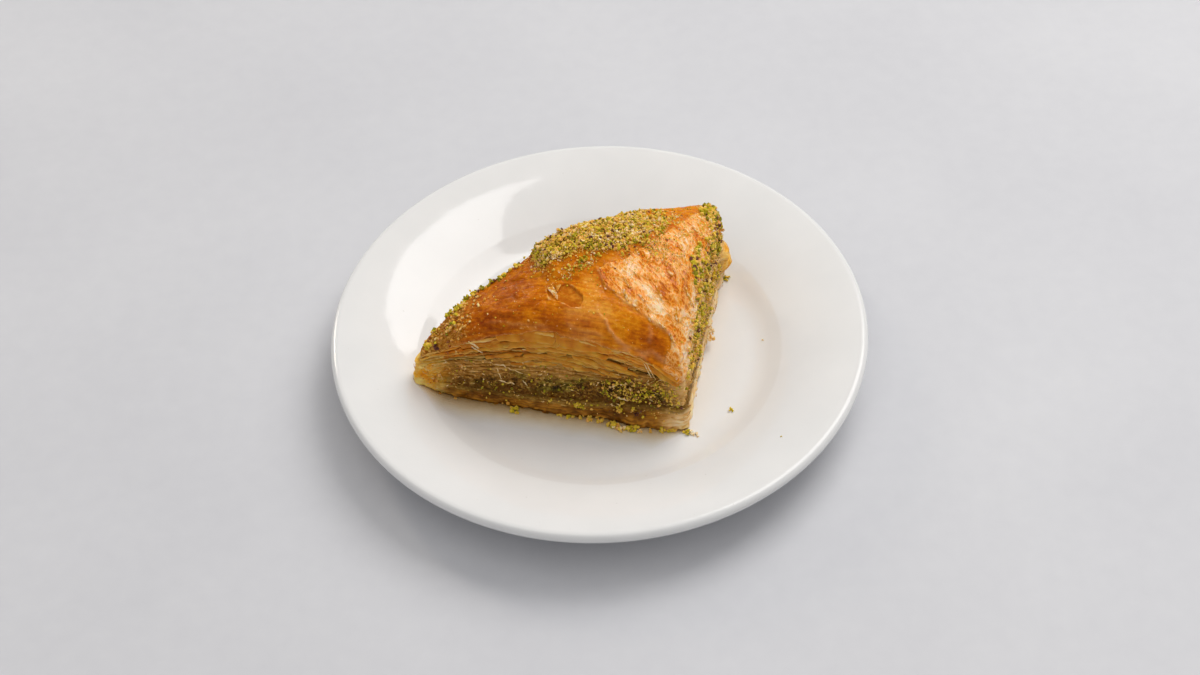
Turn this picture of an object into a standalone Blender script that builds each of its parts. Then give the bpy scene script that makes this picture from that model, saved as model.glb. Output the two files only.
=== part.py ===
"""Pistachio baklava on its dessert plate: one diagonal half of a baked block.

The slice is a stack of three solids, one on the other: a soaked phyllo base, the pistachio
filling, and the baked top leaves with the ground pistachio that is strewn on them.
"""
import math
import random

import bmesh
import bpy
from mathutils import Vector

MM = 0.001

# Plate: a round porcelain dessert plate on a foot ring, its centre at the origin.
PLATE_RADIUS = 80.0 * MM
RIM_HEIGHT = 16.2 * MM
LIP_RADIUS = 1.9 * MM
LIP_ENDS_AT = math.radians(66.0)
SHOULDER_RADIUS = 54.6 * MM
SHOULDER_HEIGHT = 9.2 * MM
SHOULDER_ROUND = 9.0 * MM
WELL_RADIUS = 48.0 * MM
WELL_ROUND = 16.0 * MM
FLOOR_HEIGHT = 5.7 * MM
FLOOR_UNDERSIDE = 1.8 * MM
BELLY_RADIUS = 58.1 * MM
BELLY_HEIGHT = 5.6 * MM
BELLY_ROUND = 10.0 * MM
FOOT_ROOT_RADIUS = 50.7 * MM
FOOT_ROOT_HEIGHT = 2.2 * MM
FOOT_ROOT_ROUND = 2.0 * MM
FOOT_OUTER = 49.5 * MM
FOOT_INNER = 46.5 * MM
FOOT_DRAFT = 1.0 * MM
PLATE_SEGMENTS = 48
UPPER_ARC_STEPS = 3
LOWER_ARC_STEPS = 2
LIP_ARC_STEPS = 4

# Slice: half of a rectangular block, cut corner to corner. The right angle stands at the front.
CORNER_PLACE = (24.8 * MM, -33.3 * MM)
LONG_LEG = 88.5 * MM
SHORT_LEG = 68.0 * MM
SLICE_TURN = math.radians(-14.1)
CORNER_ROUND = 2.5 * MM
LEAN_HEIGHT = 35.0 * MM
LEAN_LONG_LEG = 3.0 * MM
LEAN_SHORT_LEG = 2.5 * MM
LEAN_CUT = 0.5 * MM
GAP = 0.3 * MM
REST_GAP = 0.4 * MM

# Heights over the plate's floor at the tip, the back corner and the right-angled corner, and how
# far each side's middle bulges: the cut between tip and back, the short leg, the long leg.
CRUST_CORNERS = (10.5 * MM, 27.0 * MM, 21.0 * MM)
CRUST_BULGES = (18.4 * MM, 9.9 * MM, 18.5 * MM)
FILLING_CORNERS = (7.5 * MM, 15.5 * MM, 17.0 * MM)
FILLING_BULGES = (12.0 * MM, 9.0 * MM, 7.2 * MM)
BASE_CORNERS = (6.4 * MM, 7.5 * MM, 9.8 * MM)
BASE_BULGES = (-1.0 * MM, 0.0 * MM, -2.6 * MM)

# Baked edge: the top leaves curl down along both legs, and end in ledges, leaf under leaf.
CURL_DROP = 3.0 * MM
CURL_WIDTH = 9.0 * MM
CURL_START = 0.9
LEDGES = 4
LEDGE_DEPTH = 1.0 * MM
LEDGE_OUT_IN = (0.6, -0.4)
LEDGE_SPAN = (0.14, 0.62)
RIPPLE = 0.25 * MM
RIPPLE_LENGTH = 2.9 * MM
RIPPLE_SKEW = 1.3

# Rows down the side of the two lower layers: share of the way down, how far out the row stands
# and how much it waves. Where a layer is thin, its rows stand out less.
BASE_ROWS = (
    (0.0, -0.3 * MM, 0.0), (0.2, 0.4 * MM, 0.5), (0.7, 0.5 * MM, 0.5), (1.0, -0.5 * MM, 0.0))
FILLING_ROWS = (
    (0.0, -0.5 * MM, 0.0), (0.2, 0.1 * MM, 1.0), (0.65, 0.2 * MM, 1.0), (1.0, -0.4 * MM, 0.0))
FULL_DEPTH = 8.0 * MM
WAVE_OUT = 0.2 * MM
WAVE_DOWN = 0.014
WAVE_BEATS = (0.83, 0.31)
WAVE_SHIFTS = (1.9, -1.1)
TOP_RINGS = (0.17, 0.36, 0.54, 0.69, 0.80, 0.88, 0.94, 0.98)
INNER_RINGS = (0.93, 0.8, 0.45)

# Torn place in the top leaf, through which the leaf below shows.
TEAR_PLACE = (-9.2 * MM, -12.6 * MM)
TEAR_RADIUS = 4.7 * MM
TEAR_DEPTH = 0.8 * MM
TEAR_CLEARANCE = 2.0 * MM
TEAR_POINTS = 14
TEAR_RAGGED = (0.16, 0.10)

# Ground pistachio: a strewn heap along the cut, its start, thinning and end as shares of the cut.
HEAP_START = 0.395
HEAP_RISE = 0.04
HEAP_THINS = 0.46
HEAP_END = 0.88
HEAP_WIDTH = 19.0 * MM
HEAP_FULL_WIDTH = 8.6 * MM
HEAP_HEIGHT = 3.9 * MM
HEAP_EDGE = 0.3 * MM

# Coarse grains on the heap, and bits in the filling: along the long leg, the short leg, the cut.
GRAIN_SIZE = (1.1 * MM, 1.75 * MM)
GRAIN_SPACING = 3.9 * MM
GRAIN_SHIFT = 0.28
GRAIN_REACH = 1.12
BIT_SIZE = (1.1 * MM, 1.7 * MM)
BIT_MARGIN = 0.9 * MM
BIT_STARTS = (0.45, 0.04, 0.06)
BITS_PER_SIDE = (8, 9, 11)
SEED = 31

SIDE_COLUMNS = (26, 20, 30)
CORNER_COLUMNS = 4


def clear_scene():
    for thing in list(bpy.data.objects):
        bpy.data.objects.remove(thing, do_unlink=True)


def finish_material(name, colour, roughness):
    """Plain Principled finish in the piece's colour."""
    material = bpy.data.materials.new(name)
    material.use_nodes = True
    shader = material.node_tree.nodes["Principled BSDF"]
    shader.inputs["Base Color"].default_value = (*colour, 1.0)
    shader.inputs["Roughness"].default_value = roughness
    shader.inputs["Metallic"].default_value = 0.0
    return material


def add_object(name, mesh, material):
    mesh.materials.append(material)
    thing = bpy.data.objects.new(name, mesh)
    bpy.context.scene.collection.objects.link(thing)
    return thing


def smoothstep(low, high, value):
    share = min(max((value - low) / (high - low), 0.0), 1.0)
    return share * share * (3.0 - 2.0 * share)


def round_path(corners, arc_steps):
    """Profile through (radius, height, rounding) corners, each rounded corner as an arc."""
    path = []
    for index, (across, up, rounding) in enumerate(corners):
        here = Vector((across, up))
        if rounding == 0.0:
            path.append(here)
            continue
        back = (Vector(corners[index - 1][:2]) - here).normalized()
        ahead = (Vector(corners[index + 1][:2]) - here).normalized()
        half = back.angle(ahead) / 2.0
        centre = here + (back + ahead).normalized() * (rounding / math.sin(half))
        start = here + back * (rounding / math.tan(half)) - centre
        end = here + ahead * (rounding / math.tan(half)) - centre
        sweep = start.angle_signed(end)
        for step in range(arc_steps + 1):
            turn = -sweep * step / arc_steps
            path.append(centre + Vector((
                start.x * math.cos(turn) - start.y * math.sin(turn),
                start.x * math.sin(turn) + start.y * math.cos(turn))))
    return path


def plate_top_profile():
    """From the middle of the well over the shoulder to the start of the lip."""
    lip_centre = PLATE_RADIUS - LIP_RADIUS
    return round_path([
        (0.0, FLOOR_HEIGHT, 0.0),
        (WELL_RADIUS, FLOOR_HEIGHT, WELL_ROUND),
        (SHOULDER_RADIUS, SHOULDER_HEIGHT, SHOULDER_ROUND),
        (lip_centre - 0.5 * MM, RIM_HEIGHT + LIP_RADIUS * 0.95, 0.0),
    ], UPPER_ARC_STEPS)


def plate_underside_profile():
    """From under the lip back to the foot ring and the middle of the underside."""
    return round_path([
        (PLATE_RADIUS - LIP_RADIUS * 1.1, RIM_HEIGHT - LIP_RADIUS * 0.97, 0.0),
        (BELLY_RADIUS, BELLY_HEIGHT, BELLY_ROUND),
        (FOOT_ROOT_RADIUS, FOOT_ROOT_HEIGHT, FOOT_ROOT_ROUND),
        (FOOT_OUTER, 0.0, 0.0),
        (FOOT_INNER, 0.0, 0.0),
        (FOOT_INNER - FOOT_DRAFT, FLOOR_UNDERSIDE, 0.0),
        (0.0, FLOOR_UNDERSIDE, 0.0),
    ], LOWER_ARC_STEPS)


def lip_profile():
    """Round edge of the rim, from just past its top to just under its widest point."""
    lip_centre = PLATE_RADIUS - LIP_RADIUS
    path = []
    for step in range(LIP_ARC_STEPS + 1):
        turn = LIP_ENDS_AT * (1.0 - 2.0 * step / LIP_ARC_STEPS)
        path.append(Vector((
            lip_centre + LIP_RADIUS * math.cos(turn), RIM_HEIGHT + LIP_RADIUS * math.sin(turn))))
    return path


def plate_height(radius):
    """Height of the plate's upper face at a radius, read along its profile."""
    path = plate_top_profile()
    for inner, outer in zip(path, path[1:]):
        if inner.x <= radius <= outer.x:
            share = (radius - inner.x) / max(outer.x - inner.x, 1e-9)
            return inner.y + (outer.y - inner.y) * share
    return path[-1].y


def build_plate():
    profile = plate_top_profile() + lip_profile() + plate_underside_profile()
    mesh = bpy.data.meshes.new("plate")
    points = [(point.x, 0.0, point.y) for point in profile]
    edges = [(index, index + 1) for index in range(len(points) - 1)]
    mesh.from_pydata(points, edges, [])
    plate = add_object("plate", mesh, finish_material("porcelain", (0.82, 0.82, 0.80), 0.12))
    turn = plate.modifiers.new("turned", "SCREW")
    turn.steps = PLATE_SEGMENTS
    turn.render_steps = PLATE_SEGMENTS
    turn.use_merge_vertices = True
    turn.merge_threshold = 0.00001
    turn.use_smooth_shade = True
    return plate


# The slice in plan: its three corners, and sides that lean in as they rise.

def leg_direction(quarter_turns):
    turn = SLICE_TURN + quarter_turns * math.pi / 2.0
    return Vector((math.cos(turn), math.sin(turn)))


RIGHT_CORNER = Vector(CORNER_PLACE)
TIP = RIGHT_CORNER + leg_direction(2) * LONG_LEG
BACK_CORNER = RIGHT_CORNER + leg_direction(1) * SHORT_LEG


def meeting_point(first, first_way, second, second_way):
    """Point where two lines in the plan cross."""
    determinant = first_way.x * second_way.y - first_way.y * second_way.x
    apart = second - first
    along = (apart.x * second_way.y - apart.y * second_way.x) / determinant
    return first + first_way * along


def inset_corners(insets):
    """Tip, right-angled corner and back corner when each side moves in by its inset."""
    corners = [TIP, RIGHT_CORNER, BACK_CORNER]
    lines = []
    for index, inset in enumerate(insets):
        way = (corners[(index + 1) % 3] - corners[index]).normalized()
        inward = Vector((-way.y, way.x))
        lines.append((corners[index] + inward * inset, way))
    return [meeting_point(*lines[index - 1], *lines[index]) for index in range(3)]


def outline(insets):
    """Rounded outline of the slice, anticlockwise from the tip, with its outward normals.

    The sides come in the order long leg, short leg, cut.
    """
    core = inset_corners([inset + CORNER_ROUND for inset in insets])
    ways = [(core[(index + 1) % 3] - core[index]).normalized() for index in range(3)]
    normals = [Vector((way.y, -way.x)) for way in ways]
    points = []
    for index in range(3):
        sweep = normals[index - 1].angle_signed(normals[index])
        for step in range(CORNER_COLUMNS):
            turn = -sweep * (step + 0.5) / CORNER_COLUMNS
            start = normals[index - 1]
            normal = Vector((
                start.x * math.cos(turn) - start.y * math.sin(turn),
                start.x * math.sin(turn) + start.y * math.cos(turn)))
            points.append((core[index] + normal * CORNER_ROUND, normal))
        length = (core[(index + 1) % 3] - core[index]).length
        count = SIDE_COLUMNS[index]
        for step in range(count):
            along = ways[index] * (length * step / (count - 1))
            points.append((core[index] + along + normals[index] * CORNER_ROUND, normals[index]))
    return points


FOOT_OUTLINE = outline((0.0, 0.0, 0.0))
LEANT_OUTLINE = outline((LEAN_LONG_LEG, LEAN_SHORT_LEG, LEAN_CUT))
COLUMNS = len(FOOT_OUTLINE)
MIDDLE = sum((point for point, _ in LEANT_OUTLINE), Vector((0.0, 0.0))) / COLUMNS


def side_point(column, height, outward=0.0):
    """Point on the leaning side of the slice at a height over the plate's floor."""
    share = height / LEAN_HEIGHT
    flat = FOOT_OUTLINE[column][0].lerp(LEANT_OUTLINE[column][0], share)
    flat = flat + FOOT_OUTLINE[column][1] * outward
    return Vector((flat.x, flat.y, FLOOR_HEIGHT + height))


def shares(flat):
    """How near a point in the plan is to the tip, the back corner and the right corner."""
    whole = (BACK_CORNER - TIP).cross(RIGHT_CORNER - TIP)
    tip = (BACK_CORNER - flat).cross(RIGHT_CORNER - flat) / whole
    back = (RIGHT_CORNER - flat).cross(TIP - flat) / whole
    return tip, back, 1.0 - tip - back


def pillow(flat, corners, bulges):
    """Height that runs between three corners and swells along each side."""
    tip, back, right = shares(flat)
    straight = tip * corners[0] + back * corners[1] + right * corners[2]
    swell = tip * back * bulges[0] + back * right * bulges[1] + right * tip * bulges[2]
    return straight + 4.0 * swell


def curl(flat):
    """How far the top leaves have curled down near the two baked legs."""
    tip, back, _ = shares(flat)
    from_long_leg = back * SHORT_LEG - LEAN_LONG_LEG * CURL_START
    from_short_leg = tip * LONG_LEG - LEAN_SHORT_LEG * CURL_START
    share = min(max(min(from_long_leg, from_short_leg) / CURL_WIDTH, 0.0), 1.0)
    return CURL_DROP * (1.0 - math.sqrt(1.0 - (1.0 - share) ** 2))


def along_cut(flat):
    """Share of the way from tip to back corner, and distance in from the cut."""
    way = (BACK_CORNER - TIP).normalized()
    reach = flat - TIP
    return reach.dot(way) / (BACK_CORNER - TIP).length, reach.dot(Vector((way.y, -way.x)))


def heap(flat):
    """Thickness of the ground pistachio, which lies in a band along the cut."""
    share, inward = along_cut(flat)
    along = smoothstep(HEAP_START, HEAP_START + HEAP_RISE, share)
    along *= 1.0 - smoothstep(HEAP_THINS, HEAP_END, share)
    across = 1.0 - smoothstep(HEAP_FULL_WIDTH, HEAP_WIDTH, inward)
    return HEAP_HEIGHT * along * across


def crust_height(flat):
    """Top of the baked leaves, with the heap on them, over the plate's floor."""
    across = math.cos(RIPPLE_SKEW * flat.y / RIPPLE_LENGTH)
    ripple = RIPPLE * math.sin(flat.x / RIPPLE_LENGTH) * across
    return pillow(flat, CRUST_CORNERS, CRUST_BULGES) - curl(flat) + heap(flat) + ripple


def filling_height(flat):
    return pillow(flat, FILLING_CORNERS, FILLING_BULGES)


def base_height(flat):
    return pillow(flat, BASE_CORNERS, BASE_BULGES)


def resting_height(flat):
    """Underside of the slice: it lies on the well's floor and bends up where the rim begins."""
    return plate_height(flat.length) - FLOOR_HEIGHT + REST_GAP


def side_height(column, surface):
    """Height at which a surface of the stack meets the leaning side."""
    height = surface(FOOT_OUTLINE[column][0])
    for _ in range(3):
        height = surface(side_point(column, height).xy)
    return height


def stack_solid(name, top, underside, rows, top_rings, finish):
    """One layer of the slice: a top and an underside joined by rows down the side.

    A row is the share of the way down, how far out it stands and how much it waves.
    """
    uppers = [side_height(column, top) for column in range(COLUMNS)]
    lowers = [side_height(column, underside) for column in range(COLUMNS)]
    edge = [side_point(column, upper) for column, upper in enumerate(uppers)]
    rings = [lifted(MIDDLE, top)]
    rings += [cap_ring(edge, scale, top) for scale in top_rings]
    for index, (share, outward, wave) in enumerate(rows):
        ring = []
        for column, (upper, lower) in enumerate(zip(uppers, lowers)):
            depth = upper - lower
            phase = sum(
                math.sin(column * beat + index * shift)
                for beat, shift in zip(WAVE_BEATS, WAVE_SHIFTS))
            height = upper - depth * (share + wave * WAVE_DOWN * phase)
            step_out = outward * min(depth / FULL_DEPTH, 1.0) + wave * WAVE_OUT * phase
            ring.append(side_point(column, height, step_out))
        if share in (0.0, 1.0):
            ring = cap_ring(ring, 1.0, top if share == 0.0 else underside)
        rings.append(ring)
    last_row = rings[-1]
    rings += [cap_ring(last_row, scale, underside) for scale in INNER_RINGS]
    rings.append(lifted(MIDDLE, underside))
    return add_object(name, rings_to_mesh(name, rings), finish)


def lifted(flat, surface):
    return Vector((flat.x, flat.y, FLOOR_HEIGHT + surface(flat)))


def cap_ring(edge_ring, scale, surface):
    """Ring of a top or an underside, drawn in from its edge towards the middle."""
    return [lifted(MIDDLE + (point.xy - MIDDLE) * scale, surface) for point in edge_ring]


def rings_to_mesh(name, rings):
    """Closed mesh from rings that run from the top's middle, down the side, to the underside's."""
    count = len(rings[1])
    points = [rings[0]]
    for ring in rings[1:-1]:
        points.extend(ring)
    points.append(rings[-1])
    last = len(points) - 1
    bands = len(rings) - 2
    faces = []
    for column in range(count):
        beside = (column + 1) % count
        faces.append((0, 1 + column, 1 + beside))
        for band in range(bands - 1):
            upper = 1 + band * count
            lower = upper + count
            faces.append((upper + column, lower + column, lower + beside, upper + beside))
        lower = 1 + (bands - 1) * count
        faces.append((last, lower + beside, lower + column))
    mesh = bpy.data.meshes.new(name)
    mesh.from_pydata([tuple(point) for point in points], [], faces)
    return mesh


def leaf_rows():
    """Stepped edge of the top leaves: each ledge has an upper and a lower row."""
    rows = [(0.0, 0.0, 0.0)]
    for ledge in range(LEDGES):
        outward = LEDGE_DEPTH * LEDGE_OUT_IN[ledge % 2]
        for place in LEDGE_SPAN:
            rows.append(((ledge + place) / LEDGES, outward, 1.0))
    rows.append((1.0, -LEDGE_DEPTH, 0.0))
    return rows


def build_base():
    """Soaked lower leaves, which bulge a little under the weight."""
    return stack_solid(
        "bottom_phyllo", lambda flat: base_height(flat) - GAP, resting_height, BASE_ROWS,
        INNER_RINGS[::-1],
        finish_material("soaked_phyllo", (0.45, 0.26, 0.08), 0.3))


def build_filling():
    """Pistachio filling, with the coarse bits that stand out of its three sides."""
    filling = stack_solid(
        "pistachio_filling", lambda flat: filling_height(flat) - GAP, base_height, FILLING_ROWS,
        INNER_RINGS[::-1],
        finish_material("pistachio_paste", (0.30, 0.27, 0.07), 0.6))
    draw = random.Random(SEED)
    places = []
    first = CORNER_COLUMNS
    for side, count in enumerate(BITS_PER_SIDE):
        start = BIT_STARTS[side]
        for index in range(count):
            share = start + (1.0 - start) * (index + 0.5 + draw.uniform(-0.3, 0.3)) / count
            column = first + min(int(share * SIDE_COLUMNS[side]), SIDE_COLUMNS[side] - 1)
            low = side_height(column, base_height)
            high = side_height(column, filling_height)
            size = draw.uniform(*BIT_SIZE)
            room = high - low - 2.0 * (size * GRAIN_REACH + BIT_MARGIN)
            height = (low + high) / 2.0 + room * draw.uniform(-0.5, 0.5)
            if room > 0.0:
                places.append((side_point(column, height, size * 0.25), size))
        first += SIDE_COLUMNS[side] + CORNER_COLUMNS
    fuse(filling, [grain(place, size, draw) for place, size in kept_apart(places)])
    return filling


def kept_apart(places):
    """Drops each piece that would touch one already placed."""
    kept = []
    for place, size in places:
        if all((place - other).length > 1.05 * (size + other_size) for other, other_size in kept):
            kept.append((place, size))
    return kept


def build_top():
    """Baked top leaves with the torn place and the strewn pistachio."""
    top = stack_solid(
        "top_phyllo", crust_height, filling_height, leaf_rows(), TOP_RINGS,
        finish_material("baked_phyllo", (0.62, 0.27, 0.06), 0.32))
    cut_tear(top)
    draw = random.Random(SEED + 1)
    places = []
    way = (BACK_CORNER - TIP).normalized()
    inward_way = Vector((way.y, -way.x))
    length = (BACK_CORNER - TIP).length
    across_rows = int(HEAP_WIDTH / GRAIN_SPACING) + 1
    for row in range(across_rows):
        for step in range(int(length / GRAIN_SPACING)):
            shift = draw.uniform(-GRAIN_SHIFT, GRAIN_SHIFT)
            along = (step + 0.5 * (row % 2) + shift) * GRAIN_SPACING
            inward = (row + 0.5 + draw.uniform(-GRAIN_SHIFT, GRAIN_SHIFT)) * GRAIN_SPACING
            flat = TIP + way * along + inward_way * inward
            size = draw.uniform(*GRAIN_SIZE)
            if heap(flat) > HEAP_EDGE:
                places.append((lifted(flat, crust_height), size))
    fuse(top, [grain(place, size, draw) for place, size in kept_apart(places)])
    return top


def cut_tear(top):
    """Shallow, ragged hole through the topmost leaf."""
    floor, mouth = [], []
    for step in range(TEAR_POINTS):
        turn = math.tau * step / TEAR_POINTS
        ragged = 1.0 + TEAR_RAGGED[0] * math.sin(3.0 * turn) + TEAR_RAGGED[1] * math.cos(5.0 * turn)
        flat = Vector(TEAR_PLACE) + Vector((math.cos(turn), math.sin(turn))) * TEAR_RADIUS * ragged
        point = lifted(flat, crust_height)
        floor.append(point - Vector((0.0, 0.0, TEAR_DEPTH)))
        mouth.append(point + Vector((0.0, 0.0, TEAR_CLEARANCE)))
    mesh = bpy.data.meshes.new("tear_cutter")
    faces = [tuple(range(TEAR_POINTS))[::-1], tuple(range(TEAR_POINTS, 2 * TEAR_POINTS))]
    for step in range(TEAR_POINTS):
        beside = (step + 1) % TEAR_POINTS
        faces.append((step, beside, TEAR_POINTS + beside, TEAR_POINTS + step))
    mesh.from_pydata([tuple(point) for point in floor + mouth], [], faces)
    cutter = bpy.data.objects.new("tear_cutter", mesh)
    bpy.context.scene.collection.objects.link(cutter)
    boolean = top.modifiers.new("tear", "BOOLEAN")
    boolean.operation = "DIFFERENCE"
    boolean.object = cutter
    apply_modifiers(top)
    bpy.data.objects.remove(cutter, do_unlink=True)


def grain(place, size, draw):
    """One chopped pistachio grain: a lopsided lump of about thirty triangles."""
    mesh = bpy.data.meshes.new("grain")
    shape = bmesh.new()
    bmesh.ops.create_uvsphere(shape, u_segments=5, v_segments=4, radius=size)
    stretch = Vector((draw.uniform(0.85, 1.05), draw.uniform(0.7, 1.0), draw.uniform(0.65, 0.95)))
    for vertex in shape.verts:
        vertex.co = vertex.co * stretch * draw.uniform(0.86, GRAIN_REACH)
    shape.to_mesh(mesh)
    shape.free()
    thing = bpy.data.objects.new("grain", mesh)
    thing.location = place
    thing.rotation_euler = (draw.uniform(0, math.tau), draw.uniform(0, math.tau), 0.0)
    return thing


def apply_modifiers(thing):
    """Keeps the evaluated mesh, and clears the modifiers that made it."""
    bpy.context.view_layer.update()
    evaluated = thing.evaluated_get(bpy.context.evaluated_depsgraph_get())
    mesh = bpy.data.meshes.new_from_object(evaluated)
    thing.modifiers.clear()
    thing.data = mesh


def fuse(body, pieces):
    """Joins small pieces to the body they lie on by one union."""
    loose = bpy.data.collections.new("loose_pieces")
    bpy.context.scene.collection.children.link(loose)
    for piece in pieces:
        loose.objects.link(piece)
    union = body.modifiers.new("fused", "BOOLEAN")
    union.operation = "UNION"
    union.operand_type = "COLLECTION"
    union.collection = loose
    union.solver = "EXACT"
    apply_modifiers(body)
    for piece in pieces:
        bpy.data.objects.remove(piece, do_unlink=True)
    bpy.data.collections.remove(loose)


clear_scene()
build_plate()
build_base()
build_filling()
build_top()
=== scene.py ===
"""A slice of pistachio baklava on its dessert plate, dressed from the crumbs down to the glaze."""
import itertools
import math

import bmesh
import bpy
import numpy as np
from mathutils import Matrix, Vector


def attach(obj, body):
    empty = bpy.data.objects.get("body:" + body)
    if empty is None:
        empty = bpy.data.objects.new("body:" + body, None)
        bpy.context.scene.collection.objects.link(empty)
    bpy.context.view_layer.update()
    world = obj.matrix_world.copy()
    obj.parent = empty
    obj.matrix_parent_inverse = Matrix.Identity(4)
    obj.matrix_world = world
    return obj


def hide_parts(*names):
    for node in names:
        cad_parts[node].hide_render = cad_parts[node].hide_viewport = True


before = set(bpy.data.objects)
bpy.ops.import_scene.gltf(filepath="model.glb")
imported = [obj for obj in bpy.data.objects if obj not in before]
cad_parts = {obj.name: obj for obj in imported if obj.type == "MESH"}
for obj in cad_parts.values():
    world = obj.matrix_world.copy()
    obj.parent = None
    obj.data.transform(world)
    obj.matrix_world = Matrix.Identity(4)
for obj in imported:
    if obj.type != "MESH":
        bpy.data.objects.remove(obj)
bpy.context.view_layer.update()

# Camera: a person's view over the table, with a short tele lens and a slight tilt of the head.
# Its place comes from the ellipse of the plate's rim.
MM = 0.001
ELEVATION = math.radians(47.109)
DISTANCE = 616.91 * MM
ROLL = math.radians(-2.630)
AIM = Vector((0.191, 10.786, 0.0)) * MM

ahead = Vector((0.0, math.cos(ELEVATION), -math.sin(ELEVATION)))
level_right = Vector((1.0, 0.0, 0.0))
level_up = level_right.cross(ahead)
right = level_right * math.cos(ROLL) + level_up * math.sin(ROLL)
up = level_up * math.cos(ROLL) - level_right * math.sin(ROLL)
lens = bpy.data.cameras.new("lens")
lens.lens = 60.0
lens.sensor_width = 36.0
lens.clip_start = 0.01
camera = bpy.data.objects.new("camera", lens)
bpy.context.scene.collection.objects.link(camera)
camera.matrix_world = Matrix.Translation(AIM - ahead * DISTANCE) @ Matrix(
    (right, up, -ahead)).transposed().to_4x4()
bpy.context.scene.camera = camera
bpy.context.scene.view_settings.view_transform = "Standard"

# Light: a window behind the plate to the right with a curtain beside it, a small warm lamp behind
# to the left, a wide white ceiling that fills the shadows, and the dim room around. Only the
# window and the lamp mirror in the glaze.
ROOM_TONE = (0.90, 0.90, 0.92, 1.0)
ROOM_STRENGTH = 0.32
# Name, direction, distance, size, power, colour and whether the glaze mirrors it.
PANELS = (
    ("window", (0.406, 0.406, 0.819), 1.5, (0.82, 0.82), 5.9, (1.0, 0.98, 0.96), True),
    ("curtain", (0.42, 0.50, 0.76), 1.5, (1.1, 1.1), 8.6, (1.0, 0.98, 0.95), False),
    ("lamp", (-0.52, 0.66, 0.54), 1.6, (0.16, 0.42), 2.4, (1.0, 0.88, 0.72), True),
    ("ceiling", (0.0, -0.28, 1.0), 2.0, (2.2, 2.2), 14.0, (1.0, 0.98, 0.955), False),
)

room = bpy.data.worlds.new("room")
room.use_nodes = True
room.node_tree.nodes["Background"].inputs["Color"].default_value = ROOM_TONE
room.node_tree.nodes["Background"].inputs["Strength"].default_value = ROOM_STRENGTH
bpy.context.scene.world = room
for name, direction, distance, size, power, tone, mirrored in PANELS:
    panel = bpy.data.lights.new(name, "AREA")
    panel.shape = "RECTANGLE"
    panel.size, panel.size_y = size
    panel.energy = power
    panel.color = tone
    light = bpy.data.objects.new(name, panel)
    bpy.context.scene.collection.objects.link(light)
    toward = Vector(direction).normalized()
    light.location = toward * distance
    light.rotation_euler = toward.to_track_quat("Z", "Y").to_euler()
    light.visible_glossy = mirrored


# Table: a plain pale top of smooth mineral plaster, cast in one piece and rubbed flat, so that
# its tone clouds a little. The plate stands on it.
TABLE_SIDE = 6.0


class Value:
    """A number, colour or vector on its way through a finish, with plain arithmetic."""

    def __init__(self, finish, socket):
        self.finish = finish
        self.socket = socket

    def worked(self, operation, *terms):
        return self.finish.node("ShaderNodeMath", {"operation": operation}, *terms)

    def __add__(self, other):
        return self.worked("ADD", self, other)

    __radd__ = __add__

    def __sub__(self, other):
        return self.worked("SUBTRACT", self, other)

    def __rsub__(self, other):
        return self.worked("SUBTRACT", other, self)

    def __mul__(self, other):
        return self.worked("MULTIPLY", self, other)

    __rmul__ = __mul__

    def held(self):
        """The same number kept between 0 and 1."""
        return self.finish.node("ShaderNodeClamp", {}, self)

    def between(self, low, high):
        """How far the number is from low to high, from 0 to 1."""
        return ((self - low) * (1.0 / (high - low))).held()


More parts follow.
